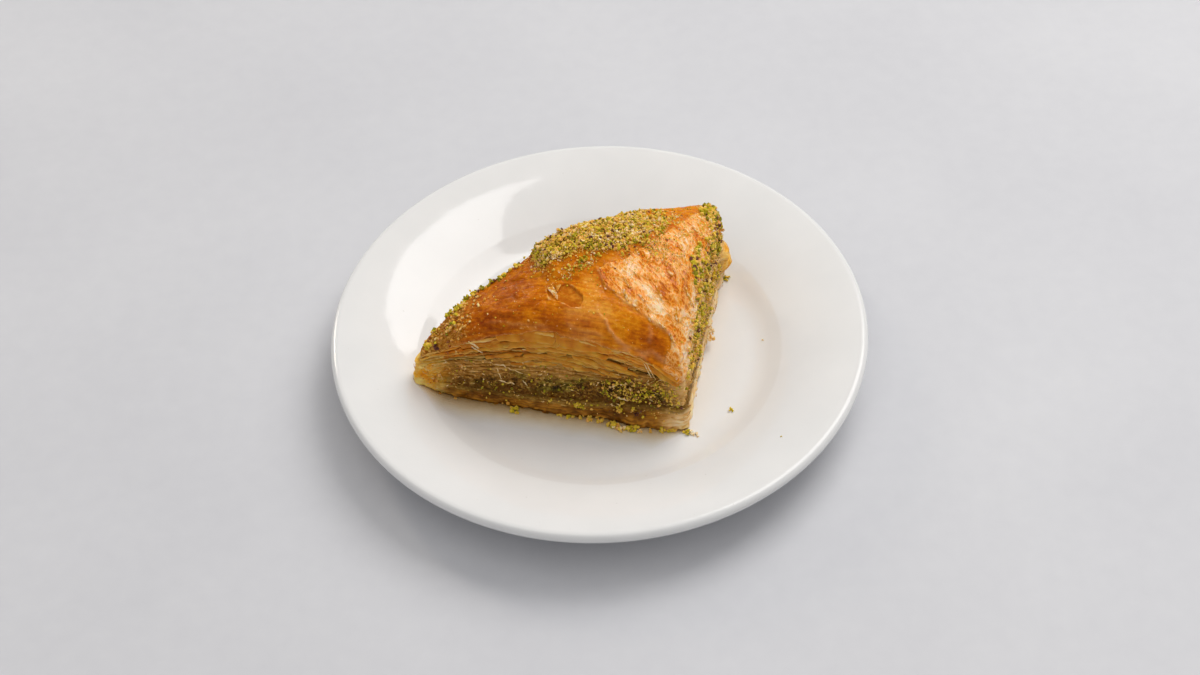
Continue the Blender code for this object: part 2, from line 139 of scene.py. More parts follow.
class Finish:
    """One Principled material, built from nodes by plain calls."""

    def __init__(self, name, **constants):
        self.material = bpy.data.materials.new(name)
        self.material.use_nodes = True
        self.tree = self.material.node_tree
        self.shader = self.tree.nodes["Principled BSDF"]
        for socket, value in constants.items():
            self.shader.inputs[socket.replace("_", " ")].default_value = value

    def node(self, kind, settings, *inputs, output=0, **named):
        """Any node: its type, its settings, and the values or links of its sockets."""
        made = self.tree.nodes.new(kind)
        for key, value in settings.items():
            if key == "stops":
                self.set_stops(made.color_ramp, value)
            else:
                setattr(made, key, value)
        for socket, value in [*enumerate(inputs), *named.items()]:
            if isinstance(socket, str):
                socket = socket.replace("_", " ")
            if isinstance(value, Value):
                self.tree.links.new(value.socket, made.inputs[socket])
            elif value is not None:
                made.inputs[socket].default_value = value
        return Value(self, made.outputs[output])

    def set_stops(self, ramp, stops):
        while len(ramp.elements) < len(stops):
            ramp.elements.new(0.5)
        for element, (place, colour) in zip(ramp.elements, stops):
            element.position = place
            element.color = (*colour, 1.0)

    def place(self):
        return self.node("ShaderNodeTexCoord", {}, output="Object")

    def noise(self, size, detail=2.0, roughness=0.5, where=None):
        """Cloudy noise whose patches are about a size across."""
        where = where or self.place()
        return self.node(
            "ShaderNodeTexNoise", {}, Vector=where, Scale=1.0 / size, Detail=detail,
            Roughness=roughness, output="Fac")

    def drawn(self, x, y, z, turn=0.0):
        """Position turned about the upright, with features drawn out so much along each axis."""
        return self.node(
            "ShaderNodeMapping", {"vector_type": "TEXTURE"}, Vector=self.place(),
            Rotation=(0.0, 0.0, turn), Scale=(x, y, z))

    def swirled(self, where, size, amount):
        """The same position pushed about by cloudy noise."""
        cloud = self.node(
            "ShaderNodeTexNoise", {}, Vector=where, Scale=1.0 / size, Detail=2.0, output="Color")
        push = self.node(
            "ShaderNodeVectorMath", {"operation": "SCALE"}, cloud, Scale=amount)
        return self.node("ShaderNodeVectorMath", {"operation": "ADD"}, where, push)

    def facets(self, size, where, feature="F1"):
        """Distance from the middle of each of many packed cells, or from their borders."""
        return self.node(
            "ShaderNodeTexVoronoi", {"feature": feature}, Vector=where, Scale=1.0 / size,
            output="Distance")

    def grains(self, size, where=None):
        """Random number for each of many packed cells about a size across."""
        cell = self.node(
            "ShaderNodeTexVoronoi", {}, Vector=where or self.place(), Scale=1.0 / size,
            output="Color")
        return self.node("ShaderNodeSeparateColor", {}, cell)

    def painted(self, name):
        """Number that paint() has stored on the points of the mesh."""
        return self.node("ShaderNodeAttribute", {"attribute_name": name}, output="Fac")

    def blend(self, share, first, second):
        """Colour between two colours."""
        mixed = self.node("ShaderNodeMix", {"data_type": "RGBA"}, output=2)
        node = mixed.socket.node
        for index, value in ((0, share), (6, first), (7, second)):
            if isinstance(value, Value):
                self.tree.links.new(value.socket, node.inputs[index])
            elif index == 0:
                node.inputs[index].default_value = value
            else:
                node.inputs[index].default_value = (*value, 1.0)
        return mixed

    def ramp(self, share, *stops):
        return self.node("ShaderNodeValToRGB", {"stops": stops}, share)

    def bump(self, height, distance, strength=1.0, under=None):
        return self.node(
            "ShaderNodeBump", {}, Strength=strength, Distance=distance, Height=height,
            Normal=under, output="Normal")

    def feed(self, **sockets):
        for socket, value in sockets.items():
            self.tree.links.new(value.socket, self.shader.inputs[socket.replace("_", " ")])
        return self.material


def plaster():
    finish = Finish("pale_plaster", Roughness=0.62)
    clouds = finish.noise(0.09, detail=4.0)
    fine = finish.noise(0.006, detail=3.0)
    tone = finish.blend(
        (clouds * 0.7 + fine * 0.3).between(0.3, 0.7), (0.60, 0.605, 0.635), (0.66, 0.665, 0.69))
    return finish.feed(Base_Color=tone)


table_mesh = bpy.data.meshes.new("table")
half = TABLE_SIDE / 2.0
table_mesh.from_pydata(
    [(-half, -half, 0.0), (half, -half, 0.0), (half, half, 0.0), (-half, half, 0.0)], [],
    [(0, 1, 2, 3)])
table_mesh.materials.append(plaster())
table = bpy.data.objects.new("table", table_mesh)
bpy.context.scene.collection.objects.link(table)


# Plate: white porcelain, thrown on a wheel as one turned form, dipped in clear glaze and fired.
# A flat well, a short steep shoulder and a wide straight rim with a round lip; a foot ring below.
PLATE_RADIUS = 80.0 * MM
RIM_HEIGHT = 16.2 * MM
LIP_RADIUS = 1.9 * MM
LIP_ENDS_AT = math.radians(66.0)
FLOOR_HEIGHT = 5.7 * MM
PLATE_STEPS = 288
ARC_STEPS = 12
LIP_STEPS = 14
# Corners of the turned form from its middle outward and back: radius, height and rounding.
UPPER_FACE = (
    (0.0, FLOOR_HEIGHT, 0.0), (48.0 * MM, FLOOR_HEIGHT, 16.0 * MM),
    (54.6 * MM, 9.2 * MM, 9.0 * MM),
    (PLATE_RADIUS - LIP_RADIUS - 0.5 * MM, RIM_HEIGHT + LIP_RADIUS * 0.95, 0.0))
LOWER_FACE = (
    (PLATE_RADIUS - LIP_RADIUS * 1.1, RIM_HEIGHT - LIP_RADIUS * 0.97, 0.0),
    (58.1 * MM, 5.6 * MM, 10.0 * MM), (50.7 * MM, 2.2 * MM, 2.0 * MM),
    (49.5 * MM, 0.25 * MM, 0.0), (49.2 * MM, 0.0, 0.0), (46.8 * MM, 0.0, 0.0),
    (46.4 * MM, 0.25 * MM, 0.0), (45.5 * MM, 1.8 * MM, 0.0), (0.0, 1.8 * MM, 0.0))


def rounded(corners, steps):
    """Path through (radius, height, rounding) corners, each rounded corner as an arc."""
    path = []
    for index, (across, height, rounding) in enumerate(corners):
        here = Vector((across, height))
        if rounding == 0.0:
            path.append(here)
            continue
        back = (Vector(corners[index - 1][:2]) - here).normalized()
        on = (Vector(corners[index + 1][:2]) - here).normalized()
        half_angle = back.angle(on) / 2.0
        centre = here + (back + on).normalized() * (rounding / math.sin(half_angle))
        start = here + back * (rounding / math.tan(half_angle)) - centre
        end = here + on * (rounding / math.tan(half_angle)) - centre
        sweep = start.angle_signed(end)
        for step in range(steps + 1):
            turned = start.copy()
            turned.rotate(Matrix.Rotation(-sweep * step / steps, 2))
            path.append(centre + turned)
    return path


def piece(name, points, faces, material, smooth=True):
    """Adds a mesh, shades it, gives it its finish and fixes it to the one body."""
    mesh = bpy.data.meshes.new(name)
    mesh.from_pydata(np.asarray(points).tolist(), [], faces)
    mesh.materials.append(material)
    mesh.shade_smooth() if smooth else mesh.shade_flat()
    thing = bpy.data.objects.new(name, mesh)
    bpy.context.scene.collection.objects.link(thing)
    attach(thing, "root")
    return thing


def porcelain():
    finish = Finish(
        "glazed_porcelain", Roughness=0.07, IOR=1.5, Coat_Weight=0.35, Coat_Roughness=0.03)
    haze = finish.noise(0.018, detail=3.0)
    specks = finish.noise(0.0011, detail=1.0)
    tone = finish.blend(haze.between(0.3, 0.7), (0.80, 0.80, 0.79), (0.835, 0.832, 0.82))
    tone = finish.blend(specks.between(0.80, 0.84) * 0.5, tone, (0.45, 0.42, 0.38))
    peel = finish.noise(0.012, detail=2.0)
    return finish.feed(
        Base_Color=tone, Roughness=haze * 0.05 + 0.06, Normal=finish.bump(peel, 0.00012))


lip_centre = PLATE_RADIUS - LIP_RADIUS
lip = [
    Vector((lip_centre + LIP_RADIUS * math.cos(turn), RIM_HEIGHT + LIP_RADIUS * math.sin(turn)))
    for turn in np.linspace(LIP_ENDS_AT, -LIP_ENDS_AT, LIP_STEPS + 1)]
upper_path = rounded(UPPER_FACE, ARC_STEPS)
profile = np.array(upper_path + lip + rounded(LOWER_FACE, ARC_STEPS))[1:-1]
turns = np.linspace(0.0, math.tau, PLATE_STEPS, endpoint=False)
plate_points = np.stack([
    np.outer(profile[:, 0], np.cos(turns)), np.outer(profile[:, 0], np.sin(turns)),
    np.repeat(profile[:, 1:], PLATE_STEPS, axis=1)], axis=-1).reshape(-1, 3)


def wrapped_faces(rows, columns, closed=True, ring=False):
    """Quads between rows of points.

    closed joins each row's last point to its first, and ring joins the last row to the first.
    """
    wide = columns if closed else columns - 1
    deep = rows if ring else rows - 1
    row, column = np.divmod(np.arange(deep * wide), wide)
    beside = (column + 1) % columns
    first, second = row * columns, (row + 1) % rows * columns
    return np.stack(
        [first + column, second + column, second + beside, first + beside], axis=1).tolist()


def capped(points, faces, columns, top, bottom):
    """Adds a middle point over the first row and one under the last, with fans to them."""
    count = len(points)
    last = count - columns
    points = np.vstack([points, [top, bottom]])
    for column in range(columns):
        beside = (column + 1) % columns
        faces.append((count, column, beside))
        faces.append((count + 1, last + beside, last + column))
    return points, faces


plate_points, plate_faces = capped(
    plate_points, wrapped_faces(len(profile), PLATE_STEPS), PLATE_STEPS,
    (0.0, 0.0, UPPER_FACE[0][1]), (0.0, 0.0, LOWER_FACE[-1][1]))
plate = piece("glazed_plate", plate_points, plate_faces, porcelain())
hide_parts("plate")


# Lower leaves of the baklava: phyllo soaked through with syrup and pressed together by what lies
# on it. The slice is one half of a block cut corner to corner; its right angle stands in front.
CORNER = np.array((24.8, -33.3)) * MM
LONG_LEG = 88.5 * MM
SHORT_LEG = 68.0 * MM
CUT = math.hypot(LONG_LEG, SHORT_LEG)
SLICE_TURN = math.radians(-14.1)
CORNER_ROUND = 2.5 * MM
LEAN_HEIGHT = 35.0 * MM
LEANS = (3.0 * MM, 2.5 * MM, 0.5 * MM)
COLUMN_STEP = 0.45 * MM
CORNER_COLUMNS = 8
BASE_CORNERS = (6.4 * MM, 7.5 * MM, 9.8 * MM)
BASE_BULGES = (-1.0 * MM, 0.0, -2.6 * MM)
ALONG_LONG = np.array((-math.cos(SLICE_TURN), -math.sin(SLICE_TURN)))
ALONG_SHORT = np.array((-math.sin(SLICE_TURN), math.cos(SLICE_TURN)))


def placed(flat, height):
    """Points in the shared frame, from slice coordinates: along the long leg, along the short."""
    across = CORNER + flat[..., :1] * ALONG_LONG + flat[..., 1:] * ALONG_SHORT
    return np.concatenate([across, FLOOR_HEIGHT + np.asarray(height)[..., None]], axis=-1)


def pillow(flat, corners, bulges):
    """Height that runs between tip, back and right-angled corner, and swells along each side."""
    tip, back = flat[..., 0] / LONG_LEG, flat[..., 1] / SHORT_LEG
    front = 1.0 - tip - back
    straight = tip * corners[0] + back * corners[1] + front * corners[2]
    swell = tip * back * bulges[0] + back * front * bulges[1] + front * tip * bulges[2]
    return straight + 4.0 * swell


def outline(insets):
    """Rounded outline from the tip round the long leg, the short leg and the cut."""
    long_in, short_in, cut_in = (inset + CORNER_ROUND for inset in insets)
    line = LONG_LEG * SHORT_LEG - cut_in * CUT
    cores = np.array([
        ((line - LONG_LEG * long_in) / SHORT_LEG, long_in), (short_in, long_in),
        (short_in, (line - SHORT_LEG * short_in) / LONG_LEG)])
    starts = [math.atan2(LONG_LEG, SHORT_LEG), -math.pi / 2.0, -math.pi, -math.pi * 2.0]
    starts[3] += starts[0]
    points, turns = [], []
    for index, core in enumerate(cores):
        start, end = starts[index], starts[index + 1]
        sweep = start + (end - start) * (np.arange(CORNER_COLUMNS) + 0.5) / CORNER_COLUMNS
        points.append(core + CORNER_ROUND * np.stack([np.cos(sweep), np.sin(sweep)], axis=1))
        turns.append(sweep)
        count = round((LONG_LEG, SHORT_LEG, CUT)[index] / COLUMN_STEP)
        share = np.linspace(0.0, 1.0, count)[:, None]
        side = core + (cores[(index + 1) % 3] - core) * share
        points.append(side + CORNER_ROUND * np.array((math.cos(end), math.sin(end))))
        turns.append(np.full(count, end))
    turn = np.concatenate(turns)
    return np.concatenate(points), np.stack([np.cos(turn), np.sin(turn)], axis=1)


FOOT, OUTWARD = outline((0.0, 0.0, 0.0))
LEANT, _ = outline(LEANS)
COLUMNS = len(FOOT)
MIDDLE = np.array((LONG_LEG, SHORT_LEG)) / 3.0


def side_flat(height, out=0.0):
    """Slice coordinates on the leaning side, for rows of heights with one value a column."""
    share = (height / LEAN_HEIGHT)[..., None]
    return FOOT + (LEANT - FOOT) * share + OUTWARD * np.asarray(out)[..., None]


def side_height(surface):
    """Height at which the leaning side meets a surface, for each column."""
    height = surface(FOOT)
    for _ in range(4):
        height = surface(side_flat(height))
    return height


def scattered(knot, seed):
    """Three random numbers from 0 to 1 for each corner of a grid, the same every time."""
    mixed = ((knot * (374761393, 668265263, 2147483647)).sum(axis=-1) + seed * 1274126177)
    mixed &= 0xFFFFFFFF
    mixed = ((mixed ^ (mixed >> 13)) * 1274126177) & 0xFFFFFFFF
    mixed ^= mixed >> 16
    return np.stack([(mixed >> shift) & 1023 for shift in (0, 10, 20)], axis=-1) / 1023.0


def rough(points, size, seed=0):
    """Smooth random relief from about -1 to 1 whose bumps are a size across."""
    scaled = np.asarray(points) / size
    cell = np.floor(scaled).astype(np.int64)
    part = scaled - cell
    ease = part * part * part * (part * (part * 6.0 - 15.0) + 10.0)
    total = np.zeros(scaled.shape[:-1])
    for corner in itertools.product((0, 1), repeat=3):
        slope = scattered(cell + corner, seed) * 2.0 - 1.0
        weight = np.prod(np.where(corner, ease, 1.0 - ease), axis=-1)
        total += weight * (slope * (part - corner)).sum(axis=-1)
    return total * 1.5


def cells(points, size, seed=0):
    """Packed grains: distance from the grain's middle, from its neighbour, and its own number."""
    scaled = np.asarray(points) / size
    home = np.floor(scaled).astype(np.int64)
    first = np.full(scaled.shape[:-1], np.inf)
    second, number = first.copy(), np.zeros_like(first)
    for offset in itertools.product((-1, 0, 1), repeat=3):
        chosen = scattered(home + offset, seed)
        away = np.linalg.norm(home + offset + chosen - scaled, axis=-1)
        nearer = away < first
        second = np.where(nearer, first, np.minimum(second, away))
        number = np.where(nearer, chosen.sum(axis=-1) * 7.0 % 1.0, number)
        first = np.minimum(first, away)
    return first, second - first, number


def layered(points, size, seed=0, octaves=3):
    """Rough relief with finer relief on it, each octave half as large and half as deep."""
    return sum(rough(points, size / 2 ** k, seed + k) / 2 ** k for k in range(octaves)) / 1.75


def paint(thing, name, values):
    """Stores one number for each point of the mesh, for its finish to read."""
    attribute = thing.data.attributes.new(name, "FLOAT", "POINT")
    attribute.data.foreach_set("value", np.asarray(values, np.float32).ravel())


def corners_of(thing):
    return np.array([corner.co for corner in thing.data.vertices])


def smoothstep(low, high, value):
    share = np.clip((value - low) / (high - low), 0.0, 1.0)
    return share * share * (3.0 - 2.0 * share)


ON_RIGHT, ON_FRONT = (smoothstep(0.7, 1.0, -OUTWARD[:, axis]) for axis in (0, 1))


def plate_top(flat):
    """Height of the plate's upper face over its well, under points of the slice."""
    radius = np.linalg.norm(placed(flat, flat[..., 0] * 0.0)[..., :2], axis=-1)
    path = np.array(upper_path)
    return np.interp(radius, path[:, 0], path[:, 1]) - FLOOR_HEIGHT


def wall(top, underside, rows, out):
    """Side of one layer as rows of points from its top to its underside, each moved outward."""
    high, low = side_height(top), side_height(underside)
    share = np.linspace(0.0, 1.0, rows)[:, None]
    height = high + (low - high) * share
    spot = placed(side_flat(height), height)
    return placed(side_flat(height, out(spot, share)), height), share


def closed_layer(name, rows, top, underside, material, inner=(0.97, 0.9, 0.6)):
    """Closes a wall of rows over its top and underside, and adds it as a piece."""
    def ring(row, scale, surface):
        flat = (row[:, :2] - CORNER) @ np.stack([ALONG_LONG, ALONG_SHORT], axis=1)
        flat = MIDDLE + (flat - MIDDLE) * scale
        return placed(flat, surface(flat))

    points = [ring(rows[0], scale, top) for scale in inner[::-1]] + list(rows)
    points += [ring(rows[-1], scale, underside) for scale in inner]
    count = len(points)
    middle = MIDDLE[None, :]
    points, faces = capped(
        np.concatenate(points), wrapped_faces(count, COLUMNS), COLUMNS,
        placed(middle, top(middle))[0], placed(middle, underside(middle))[0])
    thing = piece(name, points, [face[::-1] for face in faces], material)
    return thing, len(inner) * COLUMNS


def paint_side(thing, first, name, values, elsewhere=0.0):
    """Paints the rows of a layer's side, and one number all over its top and underside."""
    whole = np.full(len(thing.data.vertices), elsewhere)
    whole[first:first + values.size] = values.ravel()
    paint(thing, name, whole)


def base_height(flat):
    return pillow(flat, BASE_CORNERS, BASE_BULGES)


def resting_height(flat):
    return plate_top(flat) + 0.03 * MM


TIP_SPOT = placed(np.array((LONG_LEG, 0.0)), np.array(6.0 * MM))
LOBE_SPOT = placed(np.array((0.5, 61.0)) * MM, np.array(11.2 * MM))


def near_tip(spot):
    """Where the soft golden tip is, which syrup has soaked all through."""
    away = np.linalg.norm((spot - TIP_SPOT) * (1.0, 1.0, 0.5), axis=-1)
    return smoothstep(20.0 * MM, 8.5 * MM, away + 3.0 * MM * layered(spot, 4.0 * MM, 8))


def near_lobe(spot):
    """Golden lump of soaked leaves that bulges out on the right, close to the back corner."""
    away = np.linalg.norm((spot - LOBE_SPOT) * (1.0, 1.0, 0.7), axis=-1)
    return smoothstep(6.0 * MM, 2.4 * MM, away + 1.6 * MM * layered(spot, 3.0 * MM, 11))


def tip_lobes(spot):
    return 0.9 * rough(spot, 4.6 * MM, 10) + 0.9 * layered(spot, 1.9 * MM, 2) + 0.25


CORNER_SPOT = placed(np.array((0.0, 0.0)), np.array(0.0))
RIGHTWARD = np.append(-ALONG_LONG, 0.0)


def paler_part(spot):
    """Where the leaves are paler: all down the right, and round the corner in front."""
    across = (spot - CORNER_SPOT) @ RIGHTWARD + 2.0 * MM * rough(spot, 3.5 * MM, 22)
    return smoothstep(-9.5 * MM, -2.5 * MM, across)


def soaked_amber(finish, relief, lumps):
    """Colour of the golden places, painted darker in the hollows between the lumps as shade."""
    return finish.ramp(
        (relief * 0.5 + lumps * 1.2 - 0.20).held(), (0.14, (0.56, 0.13, 0.002)),
        (0.36, (0.96, 0.34, 0.010)), (0.58, (1.0, 0.47, 0.035)), (0.90, (1.0, 0.70, 0.20)))


def soaked_leaf():
    finish = Finish(
        "soaked_phyllo", Subsurface_Weight=0.3, Subsurface_Scale=0.0018,
        Subsurface_Radius=(1.0, 0.42, 0.08), Specular_IOR_Level=0.10, Coat_Weight=0.1,
        Coat_Roughness=0.12)
    relief, golden, seam, warm, dry = (
        finish.painted(name) for name in ("relief", "golden", "seam", "warm", "dry"))
    patches = finish.noise(0.0045, detail=4.0, roughness=0.6)
    lines = finish.noise(0.0009, detail=3.0, where=finish.drawn(5.0, 5.0, 0.6))
    # The relief feeds the colour: what stands out is painted lighter and the hollows darker, as
    # painted shade.
    brown = finish.ramp(
        (relief * 0.55 + patches * 0.4 + lines * 0.4 + warm * 0.40 - 0.37).held(),
        (0.12, (0.06, 0.014, 0.001)), (0.36, (0.20, 0.070, 0.004)), (0.60, (0.50, 0.205, 0.016)),
        (0.90, (0.78, 0.44, 0.11)))
    tan = finish.ramp(
        (relief * 0.45 + lines * 0.8 - 0.14).held(), (0.16, (0.44, 0.17, 0.030)),
        (0.38, (0.80, 0.45, 0.13)), (0.58, (0.97, 0.67, 0.31)), (0.82, (1.0, 0.84, 0.56)))
    brown = finish.blend((dry * (patches * 0.6 + 0.6)).held(), brown, tan)
    lumps = finish.noise(0.0022, detail=4.0, roughness=0.6)
    grit = finish.noise(0.0007, detail=3.0)
    packed = finish.ramp(
        (relief * 0.5 + grit * 0.5).held(), (0.2, (0.06, 0.024, 0.002)),
        (0.5, (0.22, 0.105, 0.010)), (0.85, (0.52, 0.31, 0.06)))
    brown = finish.blend(seam, brown, packed)
    return finish.feed(
        Base_Color=finish.blend(golden, brown, soaked_amber(finish, relief, lumps)),
        Roughness=(patches * 0.35 + 0.18).held(),
        Normal=finish.bump(grit, 0.0002, 0.7, finish.bump(lumps * golden, 0.0008, 0.9)))


BASE_LEAVES = 6
BASE_ROWS = 26


def base_out(spot, share):
    """Leaf ends, lumps and torn bits of the soaked leaves, softened at the golden tip."""
    wave = share + 0.14 * rough(spot, 6.0 * MM, 3) + 0.07 * rough(spot, 1.7 * MM, 4)
    leaf = np.abs(np.sin(math.pi * BASE_LEAVES * wave)) ** 0.6
    tuck = 0.6 * smoothstep(0.75, 1.0, share)
    lumps = 0.75 * layered(spot * (1.0, 1.0, 1.8), 2.8 * MM, 5, 4) + 0.4 * rough(spot, 9.0 * MM, 6)
    ragged = 0.5 * smoothstep(0.0, 0.5, rough(spot, 1.6 * MM, 7))
    soft = near_tip(spot)
    fine = 0.32 * leaf + lumps + ragged * smoothstep(0.5, 0.9, share)
    fine = fine - 0.5 * smoothstep(0.16, 0.0, share)
    return (fine * (1.0 - soft * 0.55) + tip_lobes(spot) * soft - tuck) * MM


def settled(share):
    """How far the foot has spread in front of the slice, and drawn in on its right."""
    spread = np.interp(
        FOOT[:, 0] / MM, (0.0, 3.0, 7.0, 10.0, 18.0, 24.0, 27.0, 34.0, 39.0, 44.0, 49.0),
        (0.3, 0.5, 1.3, 1.7, 1.5, 0.4, 0.1, 0.9, 1.2, 0.8, 0.1))
    drawn_in = np.interp(FOOT[:, 1] / MM, (0.0, 10.0, 30.0, 58.0, 66.0), (0.2, 0.6, 1.0, 1.3, 0.4))
    return (spread * ON_FRONT * smoothstep(0.3, 0.9, share) - drawn_in * ON_RIGHT) * MM


base_rows, base_share = wall(
    base_height, resting_height, BASE_ROWS,
    lambda spot, share: base_out(spot, share) + settled(share))
base_rows[:, :, 2] = np.maximum(base_rows[:, :, 2], FLOOR_HEIGHT)
base, first = closed_layer(
    "soaked_leaves", base_rows, base_height, resting_height, soaked_leaf())
paint_side(base, first, "relief", 0.5 + base_out(base_rows, base_share) / (1.4 * MM), 0.5)
blur = layered(base_rows, 2.2 * MM, 9)
paint_side(base, first, "seam", smoothstep(0.42, 0.12, base_share + 0.22 * blur))
base_spots = corners_of(base)
paint(base, "golden", near_tip(base_spots))
# Lighter along the right side and near the right-angled corner, fading out towards the tip.
paint(base, "warm", smoothstep(-30.0 * MM, 4.0 * MM, (base_spots - CORNER_SPOT) @ RIGHTWARD))
paint(base, "dry", paler_part(base_spots))
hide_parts("bottom_phyllo")


# Filling: pistachio ground with a few leaves between, moist and packed, cut through on all sides.
# Leaf edges run through it as faint lines, and coarse bits and frayed ends stand out of it.
FILLING_CORNERS = (7.5 * MM, 15.5 * MM, 17.0 * MM)
FILLING_BULGES = (12.0 * MM, 9.0 * MM, 7.2 * MM)
FILLING_ROWS = 58
FILLING_LEAVES = 9


def filling_height(flat):
    return pillow(flat, FILLING_CORNERS, FILLING_BULGES)


def packed_grains(spot):
    """Grains of the filling as cells, pressed flatter and pushed out of line."""
    spot = spot * (1.0, 1.0, 1.3) + 0.4 * MM * rough(spot, 1.5 * MM, 20)[..., None]
    return cells(spot, 1.35 * MM, 16)


def leafy_part(spot, share):
    return smoothstep(0.62, 0.25, share + 0.3 * rough(spot, 9.0 * MM, 12))


def filling_out(spot, share):
    """Packed grains below, leaf ends above, softened at the golden tip."""
    wave = share + 0.05 * rough(spot, 7.0 * MM, 13) + 0.02 * rough(spot, 2.0 * MM, 14)
    line = np.abs(np.sin(math.pi * FILLING_LEAVES * wave)) ** 0.5
    leafy = leafy_part(spot, share)
    strands = 0.5 * layered(spot * (0.55, 0.55, 3.0), 2.4 * MM, 15)
    middle, border, _ = packed_grains(spot)
    grain = 0.75 * smoothstep(0.0, 0.4, border) * (1.0 - middle) - 0.2
    chunks = 0.7 * layered(spot, 2.6 * MM, 17)
    detail = leafy * (0.7 * line + strands - 0.15) + (1.0 - leafy * 0.75) * (grain + chunks)
    soft = np.maximum(near_tip(spot), near_lobe(spot))
    calm = detail * (1.0 - soft * 0.55) * (1.0 - near_lobe(spot) * 0.85) + tip_lobes(spot) * soft
    return (calm - 0.25 + 0.3 * rough(spot, 8.0 * MM, 18)) * MM


def swollen(spot):
    """The golden lump stands out of the right side, which has drawn in all along."""
    return (2.5 * near_lobe(spot) - 0.7 * ON_RIGHT) * MM


def packed_filling():
    finish = Finish(
        "pistachio_paste", Subsurface_Weight=0.15, Subsurface_Scale=0.001,
        Subsurface_Radius=(0.9, 0.5, 0.1), Specular_IOR_Level=0.08, Coat_Weight=0.07,
        Coat_Roughness=0.12)
    relief, golden, seam, grain, leafy, dry = (
        finish.painted(name) for name in ("relief", "golden", "seam", "grain", "leafy", "dry"))
    strand = finish.noise(0.0009, detail=4.0, where=finish.drawn(4.5, 4.5, 0.5))
    small = finish.grains(0.00075)
    patches = finish.noise(0.006, detail=3.0)
    # The relief feeds the colour: what stands out is painted lighter and the hollows darker, as
    # painted shade.
    tone = (relief * 0.4 + grain * 0.34 + small * 0.34 - 0.06).held()
    ground = finish.ramp(
        tone, (0.14, (0.040, 0.014, 0.001)), (0.34, (0.145, 0.058, 0.005)),
        (0.52, (0.29, 0.130, 0.015)), (0.70, (0.48, 0.26, 0.05)), (0.92, (0.84, 0.60, 0.22)))
    green = finish.ramp(
        tone, (0.14, (0.030, 0.018, 0.001)), (0.38, (0.12, 0.078, 0.005)),
        (0.60, (0.28, 0.20, 0.020)), (0.90, (0.66, 0.55, 0.12)))
    leaves = finish.ramp(
        (relief * 0.55 + strand * 1.1 - 0.32).held(), (0.10, (0.08, 0.022, 0.002)),
        (0.32, (0.28, 0.105, 0.010)), (0.56, (0.56, 0.26, 0.045)), (0.84, (0.92, 0.60, 0.24)))
    tan = finish.ramp(
        (relief * 0.45 + strand * 0.8 - 0.14).held(), (0.16, (0.40, 0.15, 0.024)),
        (0.38, (0.76, 0.41, 0.11)), (0.58, (0.94, 0.62, 0.26)), (0.82, (1.0, 0.80, 0.50)))
    lumps = finish.noise(0.0022, detail=4.0, roughness=0.6)
    tone = finish.blend(patches.between(0.46, 0.60), ground, green)
    tone = finish.blend((leafy * (small * 0.5 + 0.6)).held(), tone, leaves)
    tone = finish.blend((dry * (patches * 0.6 + 0.55)).held(), tone, tan)
    tone = finish.blend(seam * (1.0 - dry) * 0.7, tone, (0.16, 0.055, 0.004))
    return finish.feed(
        Base_Color=finish.blend(golden, tone, soaked_amber(finish, relief, lumps)),
        Roughness=(small * 0.4 + 0.22).held(),
        Normal=finish.bump(
            small, 0.00022, 0.7,
            finish.bump(strand, 0.0002, 0.5, finish.bump(lumps * golden, 0.0008, 0.9))))


filling_rows, filling_share = wall(
    filling_height, base_height, FILLING_ROWS,
    lambda spot, share: filling_out(spot, share) + swollen(spot))
filling, first = closed_layer(
    "packed_filling", filling_rows, filling_height, base_height, packed_filling())
from_corner = FOOT[:, 0] / MM
hip_shadow = smoothstep(30.0, 22.0, from_corner) * smoothstep(4.0, 9.0, from_corner)
toward_tip = 0.3 * smoothstep(58.0, 68.0, from_corner)
blur = layered(filling_rows, 2.2 * MM, 19)
# The relief read by the finish is lowered under the crust's overhang in front, as painted shade.
for name, values, elsewhere in (
        ("relief", 0.5 + filling_out(filling_rows, filling_share) / (2.2 * MM)
         - 0.22 * hip_shadow * ON_FRONT, 0.5),
        ("seam", smoothstep(0.74, 0.95, filling_share + 0.15 * blur), 0.0),
        ("grain", packed_grains(filling_rows)[2], 0.0),
        ("leafy", np.maximum(
            leafy_part(filling_rows, filling_share - toward_tip), 0.9 * ON_RIGHT), 0.0)):
    paint_side(filling, first, name, values, elsewhere)
filling_corners = corners_of(filling)
paint(filling, "dry", paler_part(filling_corners))
paint(filling, "golden", np.maximum(near_tip(filling_corners), near_lobe(filling_corners)))
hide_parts("pistachio_filling")


# Upper leaves: some eighteen sheets of buttered phyllo laid one by one, cut through with the block
# and lifted apart by baking. Their ends show on all three sides, and droop a little at the legs.
CRUST_CORNERS = (10.5 * MM, 27.0 * MM, 21.0 * MM)
CRUST_BULGES = (18.4 * MM, 9.9 * MM, 18.5 * MM)
CURL_DROP = 3.0 * MM
CURL_WIDTH = 9.0 * MM
CURL_STARTS = (2.25 * MM, 2.7 * MM)
HEAP_HEIGHT = 3.9 * MM
# Shares of the cut, from the tip on, at which the heap starts, is full, thins and ends.
HEAP_ALONG = (0.395, 0.435, 0.46, 0.88)
HEAP_ACROSS = (8.6 * MM, 19.0 * MM)
LEAVES = 18
LEAF_GAUGE = 0.26 * MM
LEAF_DEPTH = 3.2 * MM
CORE_ROWS = 12
SIDES = {
    "front": OUTWARD[:, 1] < -0.95, "right": OUTWARD[:, 0] < -0.95,
    "cut": OUTWARD.sum(axis=1) > 1.2}


def curl_room(flat):
    """Distance in from the nearer baked leg's edge."""
    return (flat[..., ::-1] - CURL_STARTS[::-1]).min(axis=-1)


def curl(flat):
    """How far the top leaves have curled down near the two baked legs."""
    share = np.clip(curl_room(flat) / CURL_WIDTH, 0.0, 1.0)
    return CURL_DROP * (1.0 - np.sqrt(1.0 - (1.0 - share) ** 2))


